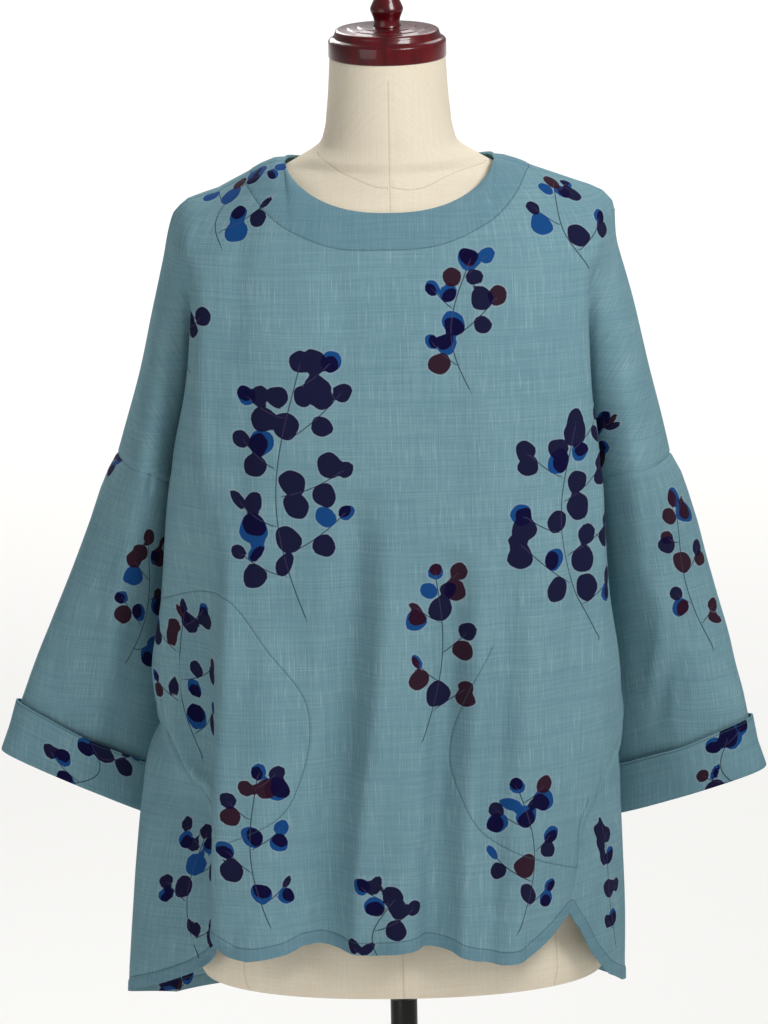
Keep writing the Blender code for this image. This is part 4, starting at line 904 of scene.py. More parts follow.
@dataclass(frozen=True)
class Sprig:
    """A drawn leaf sprig: a bent stem with shoots to either side that carry round leaves."""

    width: float
    height: float
    palette: Palette
    seed: int
    foot: float
    leaf_length: float = 0.0084
    shoot_step: float = 0.0235
    bare: float = 0.16
    root_gap: float = 0.0022

    @property
    def growth(self) -> float:
        """How much larger the leaves of a tall sprig are."""
        return 1.16 if self.height > 0.18 else 1.0

    def draw(self) -> tuple[list[Leaf], dict[str, list[np.ndarray]]]:
        """Draws the sprig about the middle of its box.

        Returns:
            The leaves, and under each stem mark the lines that it holds.
        """
        rng = random.Random(self.seed)
        half, size = self.width / 2, self.leaf_length * self.growth
        t = np.linspace(0, 1, 24)
        bend = rng.uniform(0.22, 0.38) * (-1 if self.foot > 0 else 1)
        across = half * (self.foot * (1 - t) ** 1.6 + bend * np.sin(t * math.pi * 1.15))
        stem = np.column_stack([across, -self.height / 2 + t * (self.height - size)])
        lines = {"stem": [stem], "shoot_left": [], "shoot_right": []}
        leaves = []
        count = max(2, round(self.height * (1 - self.bare) / self.shoot_step))
        for k in range(count):
            at = self.bare + (0.90 - self.bare) * (k + rng.uniform(-0.15, 0.15)) / max(1, count - 1)
            root = np.array([np.interp(at, t, stem[:, axis]) for axis in (0, 1)])
            side = 1 if (k + self.seed) % 2 else -1
            room = max(0.004, half - side * root[0] - size * 1.2)
            full = 0.72 + 0.28 * math.sin(math.pi * min(1.0, at + 0.15))
            reach = min(room * full * rng.uniform(0.84, 1.04), 0.055)
            tip = root + (side * reach, reach * rng.uniform(0.35, 0.80) + 0.002)
            middle = (root + tip) / 2 + (0, -0.16 * reach)
            share = np.linspace(0, 1, 9)[:, None]
            shoot = root * (1 - share) ** 2 + middle * 2 * share * (1 - share) + tip * share**2
            clear = np.linalg.norm(shoot - root, axis=1) > self.root_gap
            lines["shoot_right" if side > 0 else "shoot_left"].append(shoot[clear])
            heading = math.atan2(tip[1] - middle[1], tip[0] - middle[0])
            leaves.append(self.leaf(rng, tip, heading, 0.5, 0.88))
            pairs = max(1, round(reach / (size * 1.6)))
            for n in range(pairs):
                place = np.array([np.interp(1 - (n + 0.55) / (pairs + 0.35), share[:, 0], shoot[:, axis])
                                  for axis in (0, 1)])
                turn = heading + (1 if (n + k) % 2 else -1) * rng.uniform(1.1, 1.7)
                leaves.append(self.leaf(rng, place, turn, 0.95, 0.95 + 0.22 * (n + 1) / pairs))
        leaves.append(self.leaf(rng, stem[-1], math.pi / 2 + rng.uniform(-0.3, 0.3), 0.4))
        for side in (-1, 1):
            leaves.append(self.leaf(rng, stem[-4], math.pi / 2 - side * rng.uniform(1.0, 1.4), 1.25))
        return leaves, lines

    def leaf(self, rng: random.Random, place: np.ndarray, turn: float, step: float,
             size: float = 1.0) -> Leaf:
        """A leaf beside a place.

        Args:
            rng: the source of its small differences.
            place: where its stalk starts.
            turn: the direction in which it points, in radians.
            step: the distance to its middle as a share of its half length.
            size: its size against the usual one.

        Returns:
            The leaf.
        """
        length = self.leaf_length * self.growth * size * rng.uniform(0.80, 1.14)
        narrow = rng.random() < 0.16
        width = length * (rng.uniform(0.45, 0.60) if narrow else rng.uniform(0.82, 1.0))
        turn += rng.uniform(-0.25, 0.25)
        tones, weights = zip(*self.palette.value)
        tone = rng.choices(tones, weights)[0]
        layer = None
        if tone is Tone.BLUE and rng.random() < 0.88:
            layer = Tone.WINE if self.palette is Palette.WARM else Tone.NAVY
        return Leaf(place[0] + math.cos(turn) * length * step, place[1] + math.sin(turn) * length * step,
                    turn, length, width, tone, rng.uniform(0, 6.28), layer)


class HalfPanel:
    """One half of the front or back, from its centre line to its outer edge."""

    TABLES = {
        ("front", "right"): (FRONT_RIGHT, HEM_FRONT_RIGHT),
        ("front", "left"): (FRONT_LEFT, HEM_FRONT_LEFT),
        ("back", "right"): (BACK_RIGHT, HEM_BACK_RIGHT),
        ("back", "left"): (BACK_LEFT, HEM_BACK_LEFT),
    }
    BODY_KEYS = 6
    ARM_KEYS = 3

    def __init__(self, face: str, side: str) -> None:
        """Takes the tables of that half.

        Args:
            face: front or back.
            side: right or left, as seen from the front.
        """
        self.face, self.side = face, side
        self.sections, self.hem = self.TABLES[face, side]
        self.other_sections = self.TABLES["back" if face == "front" else "front", side][0]
        self.side_points = SIDE_RIGHT if side == "right" else SIDE_LEFT
        self.arm = ARM_RIGHT if side == "right" else ARM_LEFT
        self.sign = 1.0 if side == "right" else -1.0
        self.turn = 1.0 if face == "front" else -1.0
        self.armhole_top = ARMHOLE_TOP_Z[side]
        self.shoulder = SHOULDER_RIGHT if side == "right" else SHOULDER_LEFT

    def body_keys(self, z: np.ndarray) -> np.ndarray:
        """Key points at heights z: far mid line, centre, mid, bust, ridge, valley, fold, side and beyond.

        Args:
            z: heights.

        Returns:
            One row of key points for each height.
        """
        centre = np.column_stack([np.zeros(len(z)), smooth_table(CENTRES, self.face, z)[:, 0]])
        named = [smooth_table(self.sections, name, z) for name in Section._fields[1:]]
        far_side = "left" if self.side == "right" else "right"
        far_mid = smooth_table(self.TABLES[self.face, far_side][0], "mid", z)
        inner = smooth_table(self.arm, "inner", np.maximum(z, self.arm[-1].z)) * (1, self.turn)
        round_the_side = smooth_table(self.other_sections, "fold", z)
        joined = ease((z - UNDERARM_Z) / CREASE_BLEND)[:, None]
        beyond = inner * joined + round_the_side * (1 - joined)
        return np.stack([far_mid, centre, *named, self.side_line(z), beyond], axis=1)

    def side_line(self, z: np.ndarray) -> np.ndarray:
        """Points of the side line at heights z.

        Args:
            z: heights.

        Returns:
            Their x and y, one a row.
        """
        points = np.column_stack([smooth_table(self.side_points, name, z)[:, 0] for name in ("x", "y")])
        if self.face == "back":
            points[z > UNDERARM_Z, 1] *= -1
        return points

    def arm_keys(self, z: np.ndarray) -> np.ndarray:
        """Key points at heights z: before the crease, side, inner, bulge, outer and beyond the outer edge.

        Args:
            z: heights.

        Returns:
            One row of key points for each height.
        """
        fold = smooth_table(self.sections, "fold", z)
        named = [smooth_table(self.arm, name, z) * (1, self.turn) for name in ArmSection._fields[1:]]
        named[2][:, 1] *= self.turn
        return np.stack([fold, self.side_line(z), *named, named[1] * (1, -1)], axis=1)

    def section_point(self, u: np.ndarray, z: np.ndarray) -> np.ndarray:
        """Points at key position u, 0 at the centre, 6 at the side and 9 at the outer edge, and height z.

        Args:
            u: key positions.
            z: heights.

        Returns:
            The points, of the shape of u and z.
        """
        u, z = np.broadcast_arrays(np.asarray(u, float), np.asarray(z, float))
        flat_u, flat_z = u.ravel(), z.ravel()
        points = np.empty((flat_u.size, 3))
        points[:, 2] = flat_z
        on_body = flat_u <= self.BODY_KEYS
        if on_body.any():
            cell = np.minimum(flat_u[on_body].astype(int), self.BODY_KEYS - 1)
            keys = self.body_keys(flat_z[on_body])
            points[on_body, :2] = curve_through(keys, cell + 1, flat_u[on_body] - cell)
        if (~on_body).any():
            along = flat_u[~on_body] - self.BODY_KEYS
            cell = np.minimum(along.astype(int), self.ARM_KEYS - 1)
            keys = self.arm_keys(flat_z[~on_body])
            points[~on_body, :2] = curve_through(keys, cell + 1, along - cell)
        return points.reshape(u.shape + (3,))

    def armhole_height(self, u: np.ndarray) -> np.ndarray:
        """Height of the lowest chest row: level across the body, then rising along the armhole seam."""
        share = np.clip((u - self.BODY_KEYS) / self.ARM_KEYS, 0, 1)
        return UNDERARM_Z + (self.armhole_top - UNDERARM_Z) * np.sin(share * np.pi / 2)

    def hem_height(self, u: np.ndarray) -> np.ndarray:
        """Height of the hem at key positions."""
        return np.interp(u, [point.key for point in self.hem], [point.z for point in self.hem])

    def top_point(self, u: np.ndarray) -> np.ndarray:
        """Points on the neckline, up to the bust key, and then on the shoulder seam.

        Args:
            u: key positions.

        Returns:
            The points, of the shape of u.
        """
        u = np.asarray(u, float)
        points = np.empty(u.shape + (3,))
        neck = u < 2
        points[neck] = self.neck_point(np.interp(u, (0, 1, 2), (0, NECK_MID_SHARE, 1))[neck])
        line_x = np.array([abs(row.x) for row in self.shoulder])
        share = np.interp(u[~neck], range(2, 10), SHOULDER_SHARES)
        x = line_x[0] + (line_x[-1] - line_x[0]) * share
        z = np.interp(x, line_x, [row.z for row in self.shoulder]) - SHOULDER_SEAM_DROP * (1 - share)
        points[~neck] = np.column_stack([x, SHOULDER_SEAM_Y * (1 - SHOULDER_SEAM_FADE * share), z])
        points[..., 0] *= self.sign
        return points

    def neck_point(self, share: np.ndarray) -> np.ndarray:
        """Points on the neckline on the +X side, from the centre at 0 to the shoulder seam at 1.

        Args:
            share: shares of the way.

        Returns:
            The points, one a row.
        """
        depth = NECK_FRONT_DEPTH if self.face == "front" else NECK_BACK_DEPTH
        drop = NECK_FRONT_DROP if self.face == "front" else NECK_BACK_DROP
        angle = share * np.pi / 2
        across = NECK_HALF_WIDTH * np.sin(angle) ** (2 / NECK_SQUARENESS)
        inward = np.cos(angle) ** (2 / NECK_SQUARENESS)
        fall = (drop - SHOULDER_SEAM_DROP) * inward**NECK_DROP_POWER
        z = NECK_POINT_Z - SHOULDER_SEAM_DROP * share**4 - fall
        reach = -self.turn * depth - SHOULDER_SEAM_Y
        return np.column_stack([across, SHOULDER_SEAM_Y + reach * inward, z])

    def yoke_point(self, u: np.ndarray, share: np.ndarray) -> np.ndarray:
        """Points between the top edge, at share 0, and the roll line, at 1, over the shoulder.

        Args:
            u: key positions.
            share: shares of the way.

        Returns:
            The points, of the shape of u.
        """
        top = self.top_point(u)
        roll = self.section_point(u, ROLL_Z)
        below = self.section_point(u, ROLL_Z - SLOPE_STEP)
        fall = top[..., 2] - roll[..., 2]
        to_roll = roll + (roll - below) / SLOPE_STEP * (fall * ROLL_HANDLE)[..., None]
        over = np.interp(u, (0, 2, 9), (0.0, 1.0, 0.6))
        from_top = top + (roll - top) * TOP_HANDLE
        from_top[..., 1] += (roll[..., 1] - top[..., 1]) * TOP_HANDLE_DEPTH * over
        at_neck, at_seam = TOP_FALL[self.face]
        from_top[..., 2] = top[..., 2] - fall * (at_neck * (1 - over) + at_seam * over)
        t = np.asarray(share, float)[..., None]
        return (
            top * (1 - t) ** 3 + from_top * 3 * t * (1 - t) ** 2 + to_roll * 3 * t * t * (1 - t) + roll * t**3
        )


class Cloth:
    """A cut piece of cloth as a grid of points, rows down it and columns across it."""

    STEMS = ("stem", "shoot_left", "shoot_right")
    MARKS = ("blue", "wine", "navy", *STEMS, *(name + "_near" for name in STEMS),
             "stitch", "stitch_near", "stitch_run", "band")
    NEAR = 0.007
    FAR = 100.0

    def __init__(self, name: str, points: np.ndarray, cells: np.ndarray, outward: np.ndarray) -> None:
        """Takes the grid.

        Args:
            name: the node that the piece stands for.
            points: rows by columns by 3.
            cells: which cells of the grid are cloth.
            outward: roughly outward directions, of the same shape as points.
        """
        self.name, self.points, self.cells = name, points, cells
        self.closed = bool(np.allclose(points[:, 0], points[:, -1], atol=1e-7))
        self.outward = outward
        self.normals = self.find_normals()
        self.flat = np.zeros(points.shape[:2] + (2,))
        self.used = np.zeros(points.shape[:2], bool)
        for rows, columns in self.corners():
            self.used[rows, columns] |= cells
        self.marks = {mark: np.full(points.shape[:2], 1.0) for mark in self.MARKS[:3]}
        self.marks.update({mark: np.full(points.shape[:2], -self.FAR if mark.endswith("_near") else 0.0)
                           for mark in self.MARKS[3:]})
        self.pixels = np.zeros(points.shape[:2] + (2,))

    @staticmethod
    def corners() -> tuple:
        """The four corners of every cell, as slices of the grid."""
        low, high = slice(None, -1), slice(1, None)
        return (low, low), (low, high), (high, high), (high, low)

    def find_normals(self) -> np.ndarray:
        """Unit normals at the grid's points, averaged from the cells that meet there.

        Returns:
            One normal for each point, outwards.
        """
        p = self.points
        face = np.cross(p[1:, 1:] - p[:-1, :-1], p[1:, :-1] - p[:-1, 1:])
        size = np.linalg.norm(face, axis=2, keepdims=True)
        face = face / np.maximum(size, 1e-12) * self.cells[..., None]
        normals = np.zeros_like(p)
        for rows, columns in self.corners():
            normals[rows, columns] += face
        if self.closed:
            normals[:, 0] = normals[:, -1] = normals[:, 0] + normals[:, -1]
        if (normals * self.outward).sum() < 0:
            normals = -normals
        return normals / np.maximum(np.linalg.norm(normals, axis=2, keepdims=True), 1e-9)

    def lay_flat(self, centre: int, level: int, across: float, hangs: bool = False) -> None:
        """Gives each point its place on the flat piece, from arc lengths along its row and column.

        Args:
            centre: the column from which the width is measured.
            level: the row from which the length is measured.
            across: 1 where columns run to the right as seen from outside, or -1.
            hangs: whether the cloth below that row hangs straight down.
        """
        step = np.diff(self.points, axis=1)
        if hangs:
            step[level:, :, 2] = 0
        run = np.linalg.norm(step, axis=2)
        run = np.concatenate([np.zeros((len(run), 1)), np.cumsum(run, axis=1)], axis=1)
        fall = np.linalg.norm(np.diff(self.points, axis=0), axis=2)
        fall = np.concatenate([np.zeros((1, fall.shape[1])), np.cumsum(fall, axis=0)])
        self.flat[..., 0] = across * (run - run[:, centre:centre + 1])
        self.flat[..., 1] = fall - fall[level:level + 1]
        if hangs:
            self.flat[level:, :, 1] = self.points[level, centre, 2] - self.points[level:, :, 2]

    def locate(self, x: float, y: float, space: Space) -> np.ndarray:
        """The place on the flat piece that shows at a pixel.

        Args:
            x: pixels from the left, or metres across the flat piece.
            y: pixels from the top, or metres down it.
            space: what x and y are.

        Returns:
            Metres across and down.
        """
        if space is Space.FLAT:
            return np.array((x, y))
        away = np.hypot(self.pixels[..., 0] - x, self.pixels[..., 1] - y)
        facing = self.normals[..., 1] if space is Space.PHOTO else -self.normals[..., 1]
        away = np.where(self.used & (facing < 0.15), away, np.inf)
        row, column = np.unravel_index(away.argmin(), away.shape)
        row, column = min(max(row, 1), away.shape[0] - 2), min(max(column, 1), away.shape[1] - 2)
        if not self.used[row - 1:row + 2, column - 1:column + 2].all():
            return self.flat[row, column]
        down = (self.pixels[row + 1, column] - self.pixels[row - 1, column]) / 2
        over = (self.pixels[row, column + 1] - self.pixels[row, column - 1]) / 2
        steps = np.column_stack([down, over])
        if abs(np.linalg.det(steps)) < 0.5:
            return self.flat[row, column]
        share = np.linalg.solve(steps, np.array((x, y)) - self.pixels[row, column])
        share = np.clip(share, -4, 4)
        flat_down = (self.flat[row + 1, column] - self.flat[row - 1, column]) / 2
        flat_over = (self.flat[row, column + 1] - self.flat[row, column - 1]) / 2
        return self.flat[row, column] + share[0] * flat_down + share[1] * flat_over

    def edge(self, rows: slice | int, columns: slice | int, every: int = 2) -> np.ndarray:
        """A stretch of the piece's edge."""
        line = self.points[rows, columns].reshape(-1, 3)
        return np.vstack([line[:-1:every], line[-1:]])

    def distance(self, lines: Iterable[np.ndarray]) -> np.ndarray:
        """Distance of every point of the piece to the nearest of some edges."""
        found = [np.abs(line_distance(self.points.reshape(-1, 3), line)[0]) for line in lines]
        return np.min(found, axis=0).reshape(self.used.shape)

    def crease(self, crease: Crease, clearance: np.ndarray) -> None:
        """Moves the cloth out or in along a crease, never into what it hangs over.

        Args:
            crease: the crease.
            clearance: how far each point may go in.
        """
        line = smooth_line([self.locate(*point, crease.space) for point in crease.line], 0.006)
        away, run = line_distance(self.flat.reshape(-1, 2), line)
        total = np.linalg.norm(np.diff(line, axis=0), axis=1).sum()
        share = np.clip(run / total, 0.0, 0.5 if crease.to_hem else 1.0)
        tip = (run > 1e-6) & (crease.to_hem | (run < total - 1e-6))
        shape = crease.height * np.exp(-((away / crease.width) ** 2)) * np.sin(share * math.pi) ** 0.6 * tip
        self.move_out(shape.reshape(self.used.shape), clearance)

    def move_out(self, height: np.ndarray, clearance: np.ndarray) -> None:
        """Moves points along their normals, no further in than their clearance allows.

        Args:
            height: how far each point moves outwards.
            clearance: how far each may go in.
        """
        height = np.maximum(height, -np.maximum(clearance, 0.0))
        if self.closed:
            height[:, -1] = height[:, 0]
        self.points = self.points + self.normals * height[..., None]

    def sew(self, line: np.ndarray) -> None:
        """Marks a sewn line.

        Args:
            line: its points on the flat piece, one a row.
        """
        away, run = line_distance(self.flat.reshape(-1, 2), line)
        away, run = away.reshape(self.used.shape), run.reshape(self.used.shape)
        near = 1 - np.abs(away) / self.NEAR
        closer = near > self.marks["stitch_near"]
        for mark, value in (("stitch", away), ("stitch_run", run), ("stitch_near", near)):
            self.marks[mark] = np.where(closer, value, self.marks[mark])

    def print_spray(self, spray: Spray) -> None:
        """Prints a spray where its box lies on the piece.

        Args:
            spray: the spray.
        """
        middle = ((spray.left + spray.right) / 2, (spray.top + spray.bottom) / 2)
        sides = [self.locate(x, middle[1], spray.space) for x in (spray.left, spray.right)]
        ends = [self.locate(middle[0], y, spray.space) for y in (spray.top, spray.bottom)]
        centre = self.locate(*middle, spray.space)
        sprig = Sprig(abs(sides[1][0] - sides[0][0]), abs(ends[1][1] - ends[0][1]), spray.palette,
                      spray.seed, spray.foot)
        leaves, lines = sprig.draw()
        x = self.flat[..., 0] - centre[0]
        y = centre[1] - self.flat[..., 1]
        reach = max(sprig.width, sprig.height)
        rows, columns = np.nonzero((np.abs(x) < reach) & (np.abs(y) < reach))
        x, y = x[rows, columns], y[rows, columns]
        for leaf in leaves:
            outline = leaf.distance(x, y)
            mark = self.marks[leaf.tone.value]
            mark[rows, columns] = np.minimum(mark[rows, columns], outline)
            if leaf.layer:
                over = self.marks[leaf.layer.value]
                inside = np.maximum(outline, leaf.second().distance(x, y))
                over[rows, columns] = np.minimum(over[rows, columns], inside)
        where = np.column_stack([x, y])
        for name, found in lines.items():
            for line in found:
                away, _ = line_distance(where, line)
                near = 1 - np.abs(away) / self.NEAR
                closer = near > self.marks[name + "_near"][rows, columns]
                self.marks[name + "_near"][rows[closer], columns[closer]] = near[closer]
                self.marks[name][rows[closer], columns[closer]] = away[closer]

    def mark(self, mesh: bpy.types.Mesh, source: np.ndarray, marks: Iterable[str]) -> None:
        """Writes marks and the places on the flat piece onto a mesh.

        Args:
            mesh: a mesh of this piece.
            source: the point of the grid from which each vertex comes.
            marks: the marks to write.
        """
        for mark in marks:
            layer = mesh.attributes.new(mark, "FLOAT", "POINT")
            layer.data.foreach_set("value", self.marks[mark].ravel()[source].astype(np.float32))
        corner = np.empty(len(mesh.loops), np.int32)
        mesh.loops.foreach_get("vertex_index", corner)
        uv = mesh.uv_layers.new(name="flat")
        uv.data.foreach_set("uv", self.flat.reshape(-1, 2)[source][corner].astype(np.float32).ravel())

    def build(self, wall: np.ndarray | float, material: bpy.types.Material) -> bpy.types.Object:
        """Makes the closed shell of the piece and its marks.

        Args:
            wall: the cloth's thickness, all over or at each point.
            material: the finish.

        Returns:
            The object, which rides with the part and stands for the node of its name.
        """
        normals = self.find_normals()
        half = np.broadcast_to(np.asarray(wall, float), self.used.shape)[..., None] / 2
        shell = np.vstack([(self.points + normals * half).reshape(-1, 3),
                           (self.points - normals * half).reshape(-1, 3)])
        rows, columns = self.used.shape
        index = np.arange(rows * columns).reshape(rows, columns)
        if self.closed:
            index[:, -1] = index[:, 0]
        quads = np.stack([index[:-1, :-1], index[1:, :-1], index[1:, 1:], index[:-1, 1:]], axis=-1)
        quads = quads[self.cells]
        ends = np.stack([quads, np.roll(quads, -1, axis=1)], axis=-1).reshape(-1, 2)
        size = rows * columns
        code, back = ends[:, 0] * size + ends[:, 1], ends[:, 1] * size + ends[:, 0]
        rim = ends[~np.isin(code, back)]
        strips = np.column_stack([rim[:, 1], rim[:, 0], rim[:, 0] + size, rim[:, 1] + size])
        faces = np.vstack([quads, quads[:, ::-1] + size, strips])
        kept = np.unique(faces)
        order = np.zeros(2 * size, int)
        order[kept] = np.arange(len(kept))
        mesh = bpy.data.meshes.new(self.name + "_cloth")
        mesh.from_pydata(shell[kept].tolist(), [], order[faces].tolist())
        build = bmesh.new()
        build.from_mesh(mesh)
        bmesh.ops.recalc_face_normals(build, faces=build.faces)
        build.to_mesh(mesh)
        build.free()
        self.mark(mesh, kept % size, self.MARKS)
        piece = add_smooth(mesh, material, 50)
        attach(piece, BODY)
        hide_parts(self.name)
        return piece


@dataclass(frozen=True)
class WovenFinish:
    """A plain-woven cloth of uneven slub yarn."""

    name: str
    ground: str
    light: str
    deep: str
    slub: str
    thread_width: float
    slub_length: float
    slub_warp: float
    slub_weft: float
    roughness: float
    sheen: float
    bump: float
    # The seam colour darkens sewn lines: partly their thread, partly painted shade in the groove along them
    seam: str
    seam_shade_strength: float
    streak: float = 60.0
    seed_step: float = 17.3
    relief: float = 0.0006
    mottle: float = 0.38
    cloud_size: Point = (0.05, 0.09)
    clouding: float = 0.30
    stitch_half: float = 0.0014
    groove_width: float = 0.0020

    def threads(self, tree: bpy.types.NodeTree, across: float, along: float, seed: float) -> Sockets:
        """Streaks of thread in both directions.

        Args:
            tree: the node tree.
            across: the streaks' width in metres.
            along: their length in metres.
            seed: an offset that keeps one set apart from the next.

        Returns:
            The outputs of the streaks that run down the cloth and across it.
        """
        place = add_node(tree, "UVMap", uv_map="flat")
        found = []
        for scale in ((1 / across, 1 / along, 1.0), (1 / along, 1 / across, 1.0)):
            spot = add_node(tree, "Mapping", {"Vector": place, "Scale": scale, "Location": (seed,) * 3})
            found.append(add_node(tree, "TexNoise", {"Vector": spot, "Scale": 1.0, "Detail": 1.0}))
            seed += self.seed_step
        return tuple(found)

    def build(self) -> bpy.types.Material:
        """Builds the material.

        Returns:
            The material of the cloth, with all that is printed and sewn on it.
        """
        material = bpy.data.materials.new(self.name)
        material.use_nodes = True
        tree = material.node_tree
        shader = tree.nodes["Principled BSDF"]
        colour, height = self.dress(tree, *self.weave(tree))
        bump = add_node(tree, "Bump", {"Height": height, "Strength": self.bump, "Distance": self.relief})
        tree.links.new(colour, shader.inputs["Base Color"])
        tree.links.new(bump, shader.inputs["Normal"])
        shader.inputs["Roughness"].default_value = self.roughness
        shader.inputs["Specular IOR Level"].default_value = 0.08
        shader.inputs["Sheen Weight"].default_value = self.sheen
        shader.inputs["Sheen Roughness"].default_value = 0.5
        return material

    def weave(self, tree: bpy.types.NodeTree) -> Sockets:
        """The yarn's colours, with its slubs and slow changes of shade.

        Args:
            tree: the node tree.

        Returns:
            The outputs of the colour and of the height of the weave.
        """
        warp, weft = self.threads(tree, self.thread_width, self.streak * self.thread_width, 3.1)
        height = add_node(tree, "Math", {0: warp, 1: weft}, operation="ADD")
        share = add_node(tree, "MapRange", {0: height, 1: 0.72, 2: 1.28})
        yarn = add_node(
            tree, "Mix", {0: share, 6: linear(self.deep), 7: linear(self.light)}, 2, data_type="RGBA")
        colour = add_node(tree, "Mix", {0: self.mottle, 6: linear(self.ground), 7: yarn}, 2, data_type="RGBA")
        slubs = self.threads(tree, self.thread_width * 1.1, self.slub_length, 41.0)
        for slub, strength in zip(slubs, (self.slub_warp, self.slub_weft)):
            thick = add_node(tree, "MapRange", {0: slub, 1: 0.58, 2: 0.74, 4: strength})
            colour = add_node(tree, "Mix", {0: thick, 6: colour, 7: linear(self.slub)}, 2, data_type="RGBA")
        cloudy = self.threads(tree, *self.cloud_size, 77.0)[0]
        shade = add_node(tree, "MapRange", {0: cloudy, 1: 0.35, 2: 0.75, 4: self.clouding})
        colour = add_node(tree, "Mix", {0: shade, 6: colour, 7: linear(self.deep)}, 2, data_type="RGBA")
        return colour, add_node(tree, "Math", {0: slubs[0], 1: 0.8, 2: height}, operation="MULTIPLY_ADD")

    def dress(self, tree: bpy.types.NodeTree, colour: bpy.types.NodeSocket,
              height: bpy.types.NodeSocket) -> Sockets:
        """Adds sewn lines to the cloth, darkened by their thread and by painted shade in their grooves.

        Args:
            tree: the node tree.
            colour: the output of the cloth's colour.
            height: the output of the weave's height.

        Returns:
            The outputs of the new colour and height.
        """
        line, near, run = (add_node(tree, "Attribute", out="Fac", attribute_name=name)
                           for name in ("stitch", "stitch_near", "stitch_run"))
        away = add_node(tree, "Math", {0: line}, operation="ABSOLUTE")
        near = add_node(tree, "MapRange", {0: near, 1: 0.45, 2: 0.55})
        drawn = add_node(tree, "MapRange", {0: away, 1: 0.0003, 2: 0.0009, 3: near, 4: 0.0})
        dash = add_node(tree, "Math", {0: run, 1: self.stitch_half}, operation="PINGPONG")
        thread = add_node(tree, "MapRange", {0: dash, 1: 0.0001, 2: 0.0004, 3: 0.55 * self.seam_shade_strength,
                                             4: self.seam_shade_strength})
        shade = add_node(tree, "Math", {0: drawn, 1: thread}, operation="MULTIPLY")
        # Painted shade: the sewn line is darkened as the shadow in its groove, broken by the thread's dashes
        colour = add_node(tree, "Mix", {0: shade, 6: colour, 7: linear(self.seam)}, 2, data_type="RGBA")
        groove = add_node(tree, "MapRange", {0: away, 2: self.groove_width, 3: near, 4: 0.0})
        return colour, add_node(tree, "Math", {0: groove, 1: -1.6, 2: height}, operation="MULTIPLY_ADD")


@dataclass(frozen=True)
class PrintedFinish(WovenFinish):
    """Slub cotton printed with leaf sprays. The ink dyes the yarn, so the weave shows through it."""

    navy: str = "#0B0431"
    wine: str = "#2C0B1F"
    blue: str = "#04427F"
    stem: str = "#24323F"
    halo: str = "#98A9B5"
    vein: str = "#5F5478"
    band: str = "#4C7286"
    band_share: float = 0.30
    halo_width: float = 0.0014
    halo_share: float = 0.50
    stem_share: float = 0.85
    ink_edge: float = 0.0003
    ink_share: float = 0.975
    vein_share: float = 0.30

    def dress(self, tree: bpy.types.NodeTree, colour: bpy.types.NodeSocket,
              height: bpy.types.NodeSocket) -> Sockets:
        """Adds the doubled bands at neck and hem, the printed sprays and the sewn lines.

        Args:
            tree: the node tree.
            colour: the output of the cloth's colour.
            height: the output of the weave's height.

        Returns:
            The outputs of the new colour and height.
        """
        marks = {name: add_node(tree, "Attribute", out="Fac", attribute_name=name) for name in Cloth.MARKS}
        share = add_node(tree, "Math", {0: marks["band"], 1: self.band_share}, operation="MULTIPLY")
        colour = add_node(tree, "Mix", {0: share, 6: colour, 7: linear(self.band)}, 2, data_type="RGBA")
        dark = add_node(tree, "Math", {0: marks["navy"], 1: marks["wine"]}, operation="MINIMUM")
        union = add_node(tree, "Math", {0: dark, 1: marks["blue"]}, operation="MINIMUM")
        rim = add_node(
            tree, "MapRange", {0: union, 1: 0.0002, 2: self.halo_width, 3: self.halo_share, 4: 0.0})
        colour = add_node(tree, "Mix", {0: rim, 6: colour, 7: linear(self.halo)}, 2, data_type="RGBA")
        stem = 0.0
        for name in Cloth.STEMS:
            near = add_node(tree, "MapRange", {0: marks[name + "_near"], 1: 0.45, 2: 0.55})
            away = add_node(tree, "Math", {0: marks[name]}, operation="ABSOLUTE")
            line = add_node(tree, "MapRange", {0: away, 1: 0.00030, 2: 0.00065, 3: near, 4: 0.0})
            stem = add_node(tree, "Math", {0: stem, 1: line}, operation="MAXIMUM")
        share = add_node(tree, "Math", {0: stem, 1: self.stem_share}, operation="MULTIPLY")
        colour = add_node(tree, "Mix", {0: share, 6: colour, 7: linear(self.stem)}, 2, data_type="RGBA")
        for tone in (Tone.BLUE, Tone.WINE, Tone.NAVY):
            ink = linear(getattr(self, tone.value))
            share = add_node(tree, "MapRange", {
                0: marks[tone.value], 1: -self.ink_edge, 2: self.ink_edge, 3: self.ink_share, 4: 0.0})
            colour = add_node(tree, "Mix", {0: share, 6: colour, 7: ink}, 2, data_type="RGBA")
        inside = add_node(
            tree, "MapRange", {0: union, 1: -0.0014, 2: -0.0006, 3: self.vein_share, 4: 0.0})
        share = add_node(tree, "Math", {0: stem, 1: inside}, operation="MULTIPLY")
        colour = add_node(tree, "Mix", {0: share, 6: colour, 7: linear(self.vein)}, 2, data_type="RGBA")
        return super().dress(tree, colour, height)


# Slub cotton, plain-woven from uneven piece-dyed yarn: matt, with pale thick threads, more of them down the
# cloth. Real threads are about 0.4 mm apart, and are drawn as streaks 1 mm wide so that they show.
# Its sewn lines are darkened by their thread and by painted shade in their grooves.
BLUE_SLUB_COTTON = PrintedFinish(
    name="blue_slub_cotton", ground="#7499A3", light="#87ABB4", deep="#5D8390", slub="#A8C2C9",
    thread_width=0.0010, slub_length=0.026, slub_warp=0.40, slub_weft=0.12, roughness=0.9, sheen=0.02,
    bump=0.35, seam="#2F4C58", seam_shade_strength=0.48)

